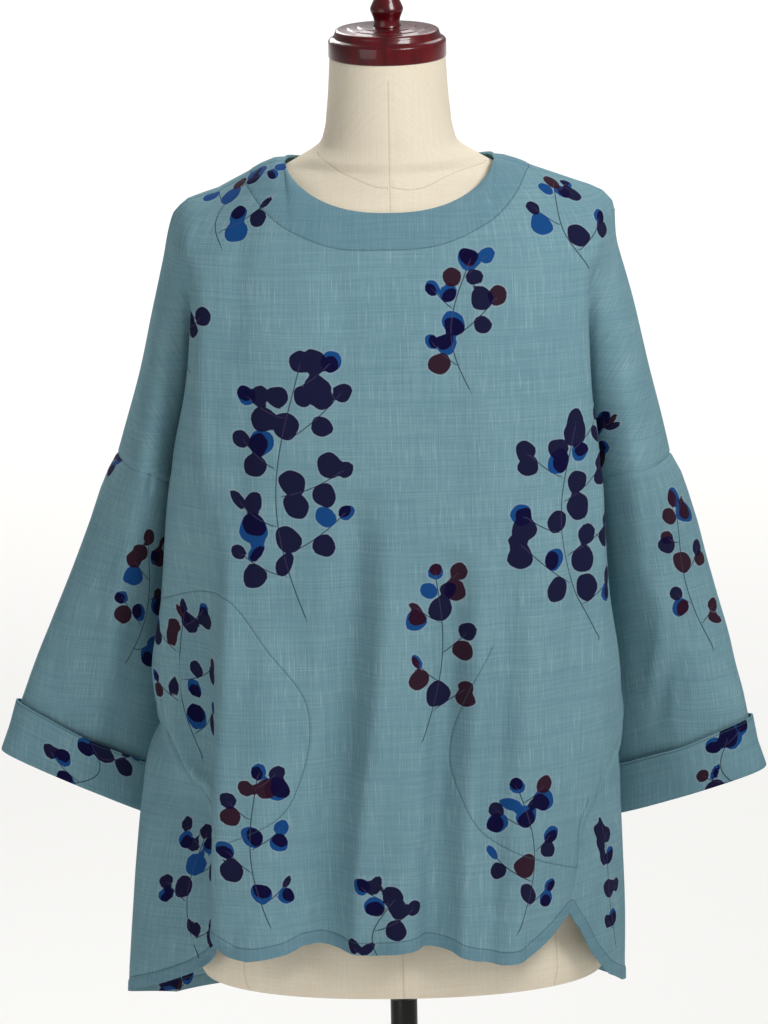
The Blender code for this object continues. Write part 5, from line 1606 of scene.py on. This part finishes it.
# Linen cover of the form, unbleached and plain-woven: matt, cream, with fine darker flecks, and its seams
# darkened with painted shade of their grooves
CREAM_LINEN = WovenFinish(
    name="cream_linen", ground="#ECE1CC", light="#F2E9D7", deep="#DED0B6", slub="#C9BA9B",
    thread_width=0.0008, slub_length=0.006, slub_warp=0.14, slub_weft=0.18, roughness=0.9, sheen=0.03,
    bump=0.2, seam="#B3A486", seam_shade_strength=0.40)


@dataclass(frozen=True)
class GlossFinish:
    """A smooth coat over a turned piece."""

    name: str
    colour: str
    shade: str
    roughness: float
    coat: float
    grain: float = 0.012

    def build(self) -> bpy.types.Material:
        """Builds the material.

        Returns:
            The material, with a faint long grain under its coat.
        """
        material = bpy.data.materials.new(self.name)
        material.use_nodes = True
        tree = material.node_tree
        shader = tree.nodes["Principled BSDF"]
        place = add_node(tree, "TexCoord", out="Object")
        spot = add_node(tree, "Mapping", {"Vector": place, "Scale": (1 / self.grain, 1 / self.grain, 12.0)})
        cloud = add_node(tree, "TexNoise", {"Vector": spot, "Scale": 1.0, "Detail": 3.0})
        share = add_node(tree, "MapRange", {0: cloud, 1: 0.35, 2: 0.65})
        colour = add_node(
            tree, "Mix", {0: share, 6: linear(self.colour), 7: linear(self.shade)}, 2, data_type="RGBA")
        bump = add_node(tree, "Bump", {"Height": cloud, "Strength": 0.05, "Distance": 0.0003})
        tree.links.new(colour, shader.inputs["Base Color"])
        tree.links.new(bump, shader.inputs["Normal"])
        shader.inputs["Roughness"].default_value = self.roughness
        shader.inputs["Specular IOR Level"].default_value = 0.3
        shader.inputs["Coat Weight"].default_value = self.coat
        shader.inputs["Coat Roughness"].default_value = 0.06
        return material


# Turned beech under dark red lacquer: deep colour with sharp, wet-looking lights
RED_LACQUER = GlossFinish("red_lacquered_wood", "#64040F", "#42020A", 0.3, 0.5)

# Steel tube and cast base under black stove enamel: near black, with a soft satin light
BLACK_ENAMEL = GlossFinish("black_enamelled_steel", "#1B1C1B", "#101110", 0.38, 0.3)


@dataclass
class Blouse:
    """The blouse: front, back, two sleeves and two turned-up cuffs."""

    view: PhotoView
    wall: float = 0.0009
    seam_gap: float = 0.0003
    hem_band: float = 0.0105
    facing: float = 0.030
    facing_reach: float = 0.09
    seam_step: float = 0.004
    band_rise: float = 0.0005
    seam_groove: float = 0.0015
    seam_reach: float = 0.0040
    undulation: float = 0.0011
    mouth_open: float = 0.0022
    mouth_width: float = 0.010
    mouth_least: float = 0.0004
    band_edge: float = 0.0012
    band_wall: float = 0.0006
    edge_calm: float = 0.02
    cuff_stitch: float = 0.0015
    form_margin: float = 0.0012
    body_columns: tuple[int, ...] = (16, 18, 14, 11, 9, 20)
    arm_columns: tuple[int, ...] = (12, 12, 22)
    yoke_rows: int = 34
    chest_rows: int = 58
    skirt_rows: int = 112
    sleeve_rows: int = 84

    def keys(self) -> np.ndarray:
        """Key positions of a half panel's columns, closer together at the seams.

        Returns:
            The positions, from the centre to the outer edge.
        """
        found = []
        for index, count in enumerate(self.body_columns + self.arm_columns):
            shares = np.arange(count) / count
            if index == len(self.body_columns) - 1:
                shares = 1 - (1 - shares) ** 1.35
            found.append(index + shares)
        return np.append(np.concatenate(found), len(self.body_columns) + len(self.arm_columns))

    @property
    def arm(self) -> int:
        """Number of grid cells across the dropped shoulder."""
        return sum(self.arm_columns)

    @property
    def low(self) -> int:
        """The row of the underarm."""
        return self.yoke_rows + self.chest_rows

    def panel(self, face: str) -> Cloth:
        """The front or back as it hangs, before its creases.

        Args:
            face: front or back.

        Returns:
            The piece.
        """
        u = self.keys()
        halves = []
        for side in ("left", "right"):
            half = HalfPanel(face, side)
            share = np.linspace(0, 1, self.yoke_rows + 1)[:-1, None] ** 1.15 + 0 * u
            yoke = half.yoke_point(u + 0 * share, share)
            drop = np.linspace(0, 1, self.chest_rows + 1)[:, None]
            chest = half.section_point(u + 0 * drop, ROLL_Z + (half.armhole_height(u) - ROLL_Z) * drop)
            body_u = np.minimum(u, len(self.body_columns))
            drop = 1 - (1 - np.linspace(0, 1, self.skirt_rows + 1)[1:, None]) ** 1.25
            skirt = half.section_point(
                body_u + 0 * drop, UNDERARM_Z + (half.hem_height(body_u) - UNDERARM_Z) * drop)
            halves.append(np.concatenate([yoke, chest, skirt]))
        points = np.concatenate([halves[0][:, :0:-1], halves[1]], axis=1)
        cells = np.ones((len(points) - 1, points.shape[1] - 1), bool)
        cells[self.low:, :self.arm] = False
        cells[self.low:, -self.arm:] = False
        outward = np.zeros_like(points)
        outward[..., 1] = -1.0 if face == "front" else 1.0
        cloth = Cloth(face, points, cells, outward)
        cloth.lay_flat(points.shape[1] // 2, self.yoke_rows, 1.0 if face == "front" else -1.0, hangs=True)
        return cloth

    def armhole_loop(self, side: str, front: np.ndarray, back: np.ndarray) -> np.ndarray:
        """The lowest chest row of both panels, from the underarm by the front round to it again.

        Args:
            side: right or left.
            front: a row of the front's points.
            back: the same row of the back's.

        Returns:
            The loop's points, one a row.
        """
        arm = self.arm
        if side == "right":
            return np.concatenate([front[-arm - 1:], back[-2:-arm - 2:-1]])
        return np.concatenate([front[arm::-1], back[1:arm + 1]])

    def end_ring(self, side: str, shares: np.ndarray) -> np.ndarray:
        """The open end of a sleeve, a flat rounded ring, at shares of its length from the inner corner.

        Args:
            side: right or left.
            shares: the shares of its length.

        Returns:
            The points, one a row.
        """
        inner, outer = (np.array(corner) for corner in SLEEVE_ENDS[side])
        centre, across = (inner + outer) / 2, (outer - inner) / 2
        depth = np.cross(across, (0, 0, 1.0))
        depth *= SLEEVE_END_HALF_DEPTH / np.linalg.norm(depth)
        if depth[1] > 0:
            depth = -depth
        angle = np.linspace(np.pi, -np.pi, 721)
        along, deep = superellipse(angle, SLEEVE_END_POWER)
        ring = centre + along[:, None] * across + deep[:, None] * depth
        length = np.concatenate([[0], np.cumsum(np.linalg.norm(np.diff(ring, axis=0), axis=1))])
        reach = np.asarray(shares) * length[-1]
        return np.column_stack([np.interp(reach, length, ring[:, axis]) for axis in range(3)])

    def sleeve(self, side: str, front: np.ndarray, back: np.ndarray) -> np.ndarray:
        """A sleeve's points, rows from the armhole to its end and columns round it from the underarm.

        Args:
            side: right or left.
            front: the front's points.
            back: the back's points.

        Returns:
            An array of rows by columns by 3.
        """
        ring = self.armhole_loop(side, front[self.low], back[self.low])
        length = np.concatenate([[0], np.cumsum(np.linalg.norm(np.diff(ring, axis=0), axis=1))])
        end = self.end_ring(side, length / length[-1])
        share = np.linspace(0, 1, self.sleeve_rows + 1)[:, None, None]
        points = ring * (1 - share) + end * share
        outward = points - points[:, :-1].mean(axis=1, keepdims=True)
        outward[..., 2] = 0
        outward /= np.linalg.norm(outward, axis=2, keepdims=True)
        facing = outward[..., :1] * (1 if side == "right" else -1)
        bow = np.interp(
            share, [row.share for row in SLEEVE_BOWS], [getattr(row, side) for row in SLEEVE_BOWS])
        hollow = SLEEVE_INNER_HOLLOW * np.sin(share * np.pi) ** 0.5
        return points + outward * (np.maximum(facing, 0) * bow - np.maximum(-facing, 0) * hollow)

    def tube(self, name: str, side: str, points: np.ndarray) -> Cloth:
        """A sleeve or cuff as a cloth piece.

        Args:
            name: its node.
            side: right or left.
            points: rows down it by columns round it.

        Returns:
            The piece.
        """
        outward = points - points[:, :-1].mean(axis=(0, 1))
        outward[..., 2] = 0
        cloth = Cloth(name, points, np.ones((len(points) - 1, points.shape[1] - 1), bool), outward)
        cloth.lay_flat(0, 0, 1.0 if side == "right" else -1.0)
        return cloth

    def up_the_sleeve(self, sleeve: np.ndarray, distance: float) -> np.ndarray:
        """Ring of points at a distance up the sleeve from its end.

        Args:
            sleeve: the sleeve's points.
            distance: the distance.

        Returns:
            The ring's points, one a row.
        """
        upward = sleeve[::-1]
        run = np.linalg.norm(np.diff(upward, axis=0), axis=2)
        reach = np.vstack([np.zeros(run.shape[1]), np.cumsum(run, axis=0)])
        ring = [[np.interp(distance, reach[:, column], upward[:, column, axis]) for axis in range(3)]
                for column in range(sleeve.shape[1])]
        return np.array(ring)

    def cuff(self, side: str, sleeve: np.ndarray) -> Cloth:
        """A turned-up cuff, from the sleeve's end round its lower fold to its free edge.

        Args:
            side: right or left.
            sleeve: the sleeve's points.

        Returns:
            The cuff, with its outer side outwards.
        """
        turned = [(SLEEVE_END_LIFT - self.seam_gap, 0.0)]
        for degrees in range(-80, 81, 20):
            angle = math.radians(degrees)
            turned.append((0.0017 * (1 - math.cos(angle)), CUFF_STAND_OFF / 2 * (1 + math.sin(angle))))
        body = np.linspace(0.004, CUFF_HEIGHT, 16)
        turned += [(up, CUFF_STAND_OFF + 0.0012 * up / CUFF_HEIGHT) for up in body]
        ends = [self.up_the_sleeve(sleeve, up) for up in (0.0, CUFF_HEIGHT)]
        tube = self.tube("rings", side, np.array(ends))
        rings = np.array([self.up_the_sleeve(sleeve, up) for up, _ in turned])
        out = np.array([out for _, out in turned])[:, None]
        share = np.clip((np.array([up for up, _ in turned]) - 0.02) / (CUFF_HEIGHT - 0.02), 0, 1)[:, None]
        slack = waves((len(turned), rings.shape[1]), (1, 9), 60 if side == "left" else 61)
        slack[:, -1] = slack[:, 0]
        gape = np.maximum(slack, 0) * 0.0030 * share**2 * (np.array([o for _, o in turned]) > 0.001)[:, None]
        points = rings + tube.normals[0] * (out + gape)[..., None]
        return self.tube(f"cuff_{side}", side, points[::-1])

    def form_clearance(self, points: np.ndarray) -> np.ndarray:
        """How far points lie outside the dress form, less a margin.

        Args:
            points: rows by columns by 3.

        Returns:
            The distances, rows by columns.
        """
        wide, front, back, power = form_outline(points[..., 2].ravel())
        x, y = points[..., 0].ravel(), points[..., 1].ravel()
        depth = np.where(y < 0, front, back)
        size = ((np.abs(x) / wide) ** power + (np.abs(y) / depth) ** power) ** (1 / power)
        away = np.hypot(x, y) * (1 - 1 / np.maximum(size, 1e-6))
        return away.reshape(points.shape[:2]) - self.form_margin - self.wall

    def front_line(self, cloth: Cloth, line: Sequence[Point]) -> np.ndarray:
        """A line of the photograph as a smooth line on the flat front."""
        return smooth_line([cloth.locate(*point, Space.PHOTO) for point in line], self.seam_step)

    def seam_distance(self, cloth: Cloth) -> np.ndarray:
        """Distance of every point of a panel to its nearest seam.

        Args:
            cloth: the front or back.

        Returns:
            The distances to shoulder seams, armholes and side seams.
        """
        arm, low = self.arm, self.low
        centre, neck = cloth.points.shape[1] // 2, sum(self.body_columns[:2])
        return cloth.distance([
            cloth.edge(0, slice(0, centre - neck + 1)), cloth.edge(0, slice(centre + neck, None)),
            cloth.edge(slice(0, low + 1), 0), cloth.edge(slice(0, low + 1), -1),
            cloth.edge(low, slice(0, arm + 1)), cloth.edge(low, slice(-arm - 1, None)),
            cloth.edge(slice(low, None), arm), cloth.edge(slice(low, None), -arm - 1),
        ])

    def mouth_lift(self, cloth: Cloth) -> np.ndarray:
        """How far a panel stands off along the pocket mouths in its side seams.

        Args:
            cloth: the front or back.

        Returns:
            The height at every point, outwards.
        """
        lift = np.zeros(cloth.used.shape)
        gape = MOUTH_LIFT + self.mouth_open if cloth.name == "front" else -self.mouth_open
        for side, column in (("left", self.arm), ("right", -self.arm - 1)):
            bottom, top = MOUTH_Z[side]
            share = np.clip((cloth.points[:, column, 2] - bottom) / (top - bottom), 0, 1)
            from_edge = np.abs(cloth.flat[..., 0] - cloth.flat[:, column, 0][:, None])
            lift += gape * np.sin(np.pi * share)[:, None] * np.exp(-((from_edge / self.mouth_width) ** 2))
        return lift

    def finish_panel(self, cloth: Cloth) -> np.ndarray:
        """Sews a panel's edges: bands, grooves at the seams and pocket mouths.

        Args:
            cloth: the front or back.

        Returns:
            The wall's thickness at each point.
        """
        centre = cloth.points.shape[1] // 2
        neck = sum(self.body_columns[:2])
        hem = cloth.distance([cloth.edge(-1, slice(self.arm, -self.arm))])
        collar = cloth.distance([cloth.edge(0, slice(centre - neck, centre + neck + 1))])
        on_hem = ease((self.hem_band - hem) / self.band_edge)
        line = None
        if cloth.name == "front":
            line = self.front_line(cloth, FACING_LINE)
            inside = line_distance(cloth.flat.reshape(-1, 2), line)[0].reshape(cloth.used.shape)
            inside = inside * np.sign(inside[0, centre])
            on_facing = ease(inside / self.band_edge) * (collar < self.facing_reach)
        else:
            on_facing = ease((self.facing - collar) / self.band_edge)
        cloth.marks["band"] = np.maximum(on_hem, on_facing * 0.9)
        lift = self.mouth_lift(cloth)
        groove = -self.seam_groove * np.maximum(0, 1 - self.seam_distance(cloth) / self.seam_reach) ** 2
        groove = np.where(np.abs(lift) > self.mouth_least, 0.0, groove)
        rise = self.band_rise * np.maximum(on_hem, on_facing * 0.5)
        cloth.move_out(groove + rise + lift, self.form_clearance(cloth.points))
        self.sew_beside(cloth, hem, self.hem_band, np.abs(hem - self.hem_band))
        if line is not None:
            cloth.sew(line)
            for seam in FRONT_SEAMS:
                cloth.sew(self.front_line(cloth, seam))
        else:
            self.sew_beside(cloth, collar, self.facing, np.abs(collar - self.facing))
        return self.wall + self.band_wall * cloth.marks["band"]

    def sew_beside(self, cloth: Cloth, distance: np.ndarray, offset: float, away: np.ndarray) -> None:
        """Marks a sewn line at an even distance from an edge.

        Args:
            cloth: the piece.
            distance: each point's distance from the edge.
            offset: the line's distance from it.
            away: each point's distance from the line.
        """
        near = 1 - away / cloth.NEAR
        closer = near > cloth.marks["stitch_near"]
        run = np.cumsum(np.abs(np.diff(cloth.flat[..., 0], axis=1, prepend=0)), axis=1)
        for mark, value in (("stitch", distance - offset), ("stitch_run", run), ("stitch_near", near)):
            cloth.marks[mark] = np.where(closer, value, cloth.marks[mark])

    def settle(self, cloth: Cloth, seed: int, gain: float = 1.0) -> None:
        """Lays a piece's creases and the small unevenness of hanging cloth into it.

        Args:
            cloth: the piece.
            seed: the seed of its unevenness.
            gain: its unevenness against the usual one.
        """
        clearance = self.form_clearance(cloth.points)
        ends = cloth.distance([cloth.edge(0, slice(None)), cloth.edge(-1, slice(None))])
        inner = np.minimum(1.0, ends / self.edge_calm)
        shape = cloth.used.shape
        slow = waves(shape, (3, 11), seed) * 0.65 + waves(shape, (9, 16), seed + 1) * 0.35
        if cloth.closed:
            slow = slow * np.minimum(1, np.minimum(np.arange(shape[1]), np.arange(shape[1])[::-1]) / 12)
        cloth.move_out(slow * self.undulation * gain * inner, clearance)
        for crease in CREASES:
            if crease.piece == cloth.name:
                cloth.crease(crease, self.form_clearance(cloth.points))
        cloth.normals = cloth.find_normals()

    def build(self) -> None:
        """Builds, prints and dresses every piece of the blouse."""
        front, back = self.panel("front"), self.panel("back")
        sleeves = {side: self.sleeve(side, front.points, back.points) for side in ("right", "left")}
        pieces = [front, back]
        for side, points in sleeves.items():
            shortened = points.copy()
            shortened[-1] = self.up_the_sleeve(points, SLEEVE_END_LIFT)
            shortened[-2] = self.up_the_sleeve(points, SLEEVE_END_LIFT + 0.0015)
            pieces.append(self.tube(f"sleeve_{side}", side, shortened))
            pieces.append(self.cuff(side, points))
        material = BLUE_SLUB_COTTON.build()
        for seed, cloth in enumerate(pieces):
            cloth.pixels = self.view.project(cloth.points)
            if cloth.name in ("front", "back"):
                wall = self.finish_panel(cloth)
                self.settle(cloth, 100 + 10 * seed)
            elif cloth.name.startswith("sleeve"):
                top = cloth.distance([cloth.edge(0, slice(None))])
                clear = np.ones(cloth.used.shape)
                cloth.move_out(-self.seam_groove * np.maximum(0, 1 - top / self.seam_reach) ** 2, clear)
                self.settle(cloth, 100 + 10 * seed, 1.2)
                wall = self.wall
            else:
                cloth.marks["band"] = np.full(cloth.used.shape, 0.35)
                down = cloth.flat[..., 1]
                self.sew_beside(cloth, down, self.cuff_stitch, np.abs(down - self.cuff_stitch))
                wall = self.wall * 1.5
            for spray in SPRAYS:
                if spray.piece == cloth.name:
                    cloth.print_spray(spray)
            piece = cloth.build(wall, material)
            LOG.info("%s: %d points, stands for %s", piece.name, len(piece.data.vertices), cloth.name)


@dataclass
class DressForm:
    """The linen-covered torso and neck of the form."""

    columns: int = 180
    rows: int = 230
    shrink: float = 0.0004
    base_seam: tuple[Point, ...] = (
        (317, 152), (340, 172), (375, 187), (400, 189), (428, 186), (462, 170), (486, 150))
    side_seams: tuple[float, ...] = (0.105, 0.25, 0.37, 0.63, 0.75, 0.895)
    side_seam_top: float = 0.86

    def build(self, view: PhotoView) -> None:
        """Builds the cover with its seams.

        Args:
            view: the view in which the seam round the neck's foot is placed.
        """
        levels = [row.z for row in FORM_SECTIONS + FORM_SHOULDERS + FORM_NECK]
        z = np.unique(np.concatenate([np.linspace(FORM_BOTTOM_Z, FORM_TOP_Z, self.rows), levels]))
        wide, front, back, power = (column[:, None] for column in form_outline(z))
        angle = np.linspace(-1.5 * np.pi, np.pi / 2, self.columns + 1)[None]
        along, deep = superellipse(angle, power)
        depth = np.where(deep < 0, front, back) - self.shrink
        points = np.stack([along * (wide - self.shrink), deep * depth, z[:, None] + 0 * along], axis=-1)
        points[:, -1] = points[:, 0]
        outward = points * (1, 1, 0)
        cover = Cloth("form_body", points, np.ones((len(z) - 1, self.columns), bool), outward)
        cover.lay_flat(self.columns // 2, 0, 1.0)
        cover.pixels = view.project(points)
        for column in (0, self.columns // 2):
            cover.sew(cover.flat[::6, column])
        for share in self.side_seams:
            cover.sew(cover.flat[:int(len(z) * self.side_seam_top):6, int(self.columns * share)])
        cover.sew(smooth_line([cover.locate(*point, Space.PHOTO) for point in self.base_seam], 0.004))
        piece = self.close(cover)
        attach(piece, BODY)
        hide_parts("form_body")
        LOG.info("%s: %d points, stands for form_body", piece.name, len(piece.data.vertices))

    def close(self, cover: Cloth) -> bpy.types.Object:
        """Makes the cover one closed body, with a flat foot and top.

        Args:
            cover: the cover's points and seams.

        Returns:
            The body.
        """
        rows, columns = cover.used.shape
        index = np.arange(rows * columns).reshape(rows, columns)
        index[:, -1] = index[:, 0]
        quads = np.stack([index[:-1, :-1], index[:-1, 1:], index[1:, 1:], index[1:, :-1]], axis=-1)
        quads = quads.reshape(-1, 4)
        kept = np.unique(quads)
        order = np.zeros(rows * columns, int)
        order[kept] = np.arange(len(kept))
        faces = order[quads].tolist()
        faces += [order[index[0, :-1]][::-1].tolist(), order[index[-1, :-1]].tolist()]
        mesh = bpy.data.meshes.new("form_cover")
        mesh.from_pydata(cover.points.reshape(-1, 3)[kept].tolist(), [], faces)
        cover.mark(mesh, kept, ("stitch", "stitch_near", "stitch_run"))
        return add_smooth(mesh, CREAM_LINEN.build(), 40)


@dataclass
class Stand:
    """Neck cap, finial, socket, pole and base."""

    steps: int = 96
    bevel: float = 0.0006

    def turn(self, name: str, outline: Sequence[Point], foot: float, material: bpy.types.Material) -> None:
        """Builds a turned piece that stands for the node of its name.

        Args:
            name: the node.
            outline: radius and height, from the top of the axis down the outer side.
            foot: height of the piece's foot.
            material: the finish.
        """
        build = bmesh.new()
        corners = [build.verts.new((radius, 0.0, height + foot)) for radius, height in outline]
        for start, end in zip(corners, corners[1:]):
            build.edges.new((start, end))
        bmesh.ops.spin(build, geom=build.verts[:] + build.edges[:], axis=(0, 0, 1), cent=(0, 0, 0),
                       steps=self.steps, angle=2 * math.pi)
        bmesh.ops.remove_doubles(build, verts=build.verts, dist=0.00005)
        bmesh.ops.recalc_face_normals(build, faces=build.faces)
        mesh = bpy.data.meshes.new(name + "_turned")
        build.to_mesh(mesh)
        build.free()
        piece = add_smooth(mesh, material, 35)
        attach(piece, BODY)
        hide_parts(name)
        LOG.info("%s: %d points, stands for %s", piece.name, len(mesh.vertices), name)

    def rounded(self, outline: Sequence[Point]) -> list[Point]:
        """The outline with its corners softened.

        Args:
            outline: radii and heights.

        Returns:
            The softened outline.
        """
        keys = np.array(outline)
        found = [tuple(keys[0])]
        for before, corner, after in zip(keys, keys[1:], keys[2:]):
            reach = min(self.bevel, np.linalg.norm(corner - before) / 3, np.linalg.norm(after - corner) / 3)
            start = corner + (before - corner) / max(np.linalg.norm(before - corner), 1e-9) * reach
            end = corner + (after - corner) / max(np.linalg.norm(after - corner), 1e-9) * reach
            for t in (0.0, 0.5, 1.0):
                found.append(tuple(start * (1 - t) ** 2 + corner * 2 * t * (1 - t) + end * t * t))
        return found + [tuple(keys[-1])]

    def build(self) -> None:
        """Builds every piece of the stand."""
        lacquer, enamel = RED_LACQUER.build(), BLACK_ENAMEL.build()
        self.turn("neck_cap", self.rounded(CAP_OUTLINE), FORM_TOP_Z + PART_GAP, lacquer)
        finial = smooth_line(FINIAL_OUTLINE[:-1], 0.0012).tolist() + [FINIAL_OUTLINE[-1]]
        finial[0] = FINIAL_OUTLINE[0]
        self.turn("finial", finial, FORM_TOP_Z + CAP_OUTLINE[0][1] + 2 * PART_GAP, lacquer)
        socket = FORM_BOTTOM_Z - SOCKET_LENGTH - PART_GAP
        self.turn("stand_socket", self.rounded(SOCKET_OUTLINE), socket, enamel)
        self.turn("stand_base", self.rounded(BASE_OUTLINE), 0.0, enamel)
        low, high = BASE_OUTLINE[0][1] + PART_GAP, socket - PART_GAP
        pole = ((0.0, high), (POLE_RADIUS, high), (POLE_RADIUS, low), (0.0, low))
        self.turn("stand_pole", self.rounded(pole), 0.0, enamel)


@dataclass
class Studio:
    """A plain pale floor and soft light."""

    floor_size: float = 120.0
    floor_colour: str = "#F4F3F0"

    def build(self) -> None:
        """Adds the floor, the lights and the pale surroundings."""
        bpy.ops.mesh.primitive_plane_add(size=self.floor_size, location=(0.0, 0.0, -0.0005))
        floor = bpy.context.object
        floor.name = "floor"
        material = bpy.data.materials.new("pale_floor")
        material.use_nodes = True
        shader = material.node_tree.nodes["Principled BSDF"]
        shader.inputs["Base Color"].default_value = linear(self.floor_colour)
        shader.inputs["Roughness"].default_value = 0.9
        floor.data.materials.append(material)
        self.light("key", (1.00, -1.15, 2.45), (0.0, 0.0, 1.15), 0.7, 26.0)
        self.light("fill", (-2.2, -2.8, 1.8), (0.0, 0.0, 1.15), 2.2, 19.0)
        self.light("low", (0.1, -1.1, 0.10), (0.0, 0.0, 0.70), 0.5, 1.6)
        self.light("behind", (-0.8, 2.3, 2.4), (0.0, 0.0, 1.1), 1.2, 22.0)
        self.light("floor_wash", (0.0, 8.0, 6.0), (0.0, 8.0, 0.0), 9.0, 640.0)
        world = bpy.data.worlds.new("studio")
        world.use_nodes = True
        sky = world.node_tree.nodes["Background"]
        sky.inputs["Color"].default_value = linear("#F7F8FA")
        sky.inputs["Strength"].default_value = 0.27
        bpy.context.scene.world = world
        bpy.context.scene.view_settings.view_transform = "Standard"

    def light(self, name: str, place: Place, aim: Place, size: float, power: float) -> None:
        """Adds a square soft light.

        Args:
            name: the light's name.
            place: where it stands.
            aim: the point that it faces.
            size: the length of its side in metres.
            power: its power in watts.
        """
        data = bpy.data.lights.new(name, "AREA")
        data.size = size
        data.energy = power
        lamp = bpy.data.objects.new(name, data)
        lamp.location = place
        lamp.visible_camera = False
        lamp.rotation_euler = (Vector(aim) - Vector(place)).to_track_quat("-Z", "Y").to_euler()
        bpy.context.scene.collection.objects.link(lamp)


def corners(box: tuple) -> list[list[float]]:
    """A box's lowest and highest corner as plain lists."""
    return [[float(value) for value in corner] for corner in box]


def main() -> None:
    """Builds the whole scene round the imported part."""
    logging.basicConfig(level=logging.INFO, format="%(name)s: %(message)s")
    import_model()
    view = PhotoView()
    view.add_camera()
    DressForm().build(view)
    Stand().build()
    Blouse(view).build()
    Studio().build()
    bpy.context.view_layer.update()


if __name__ == "__main__":
    main()
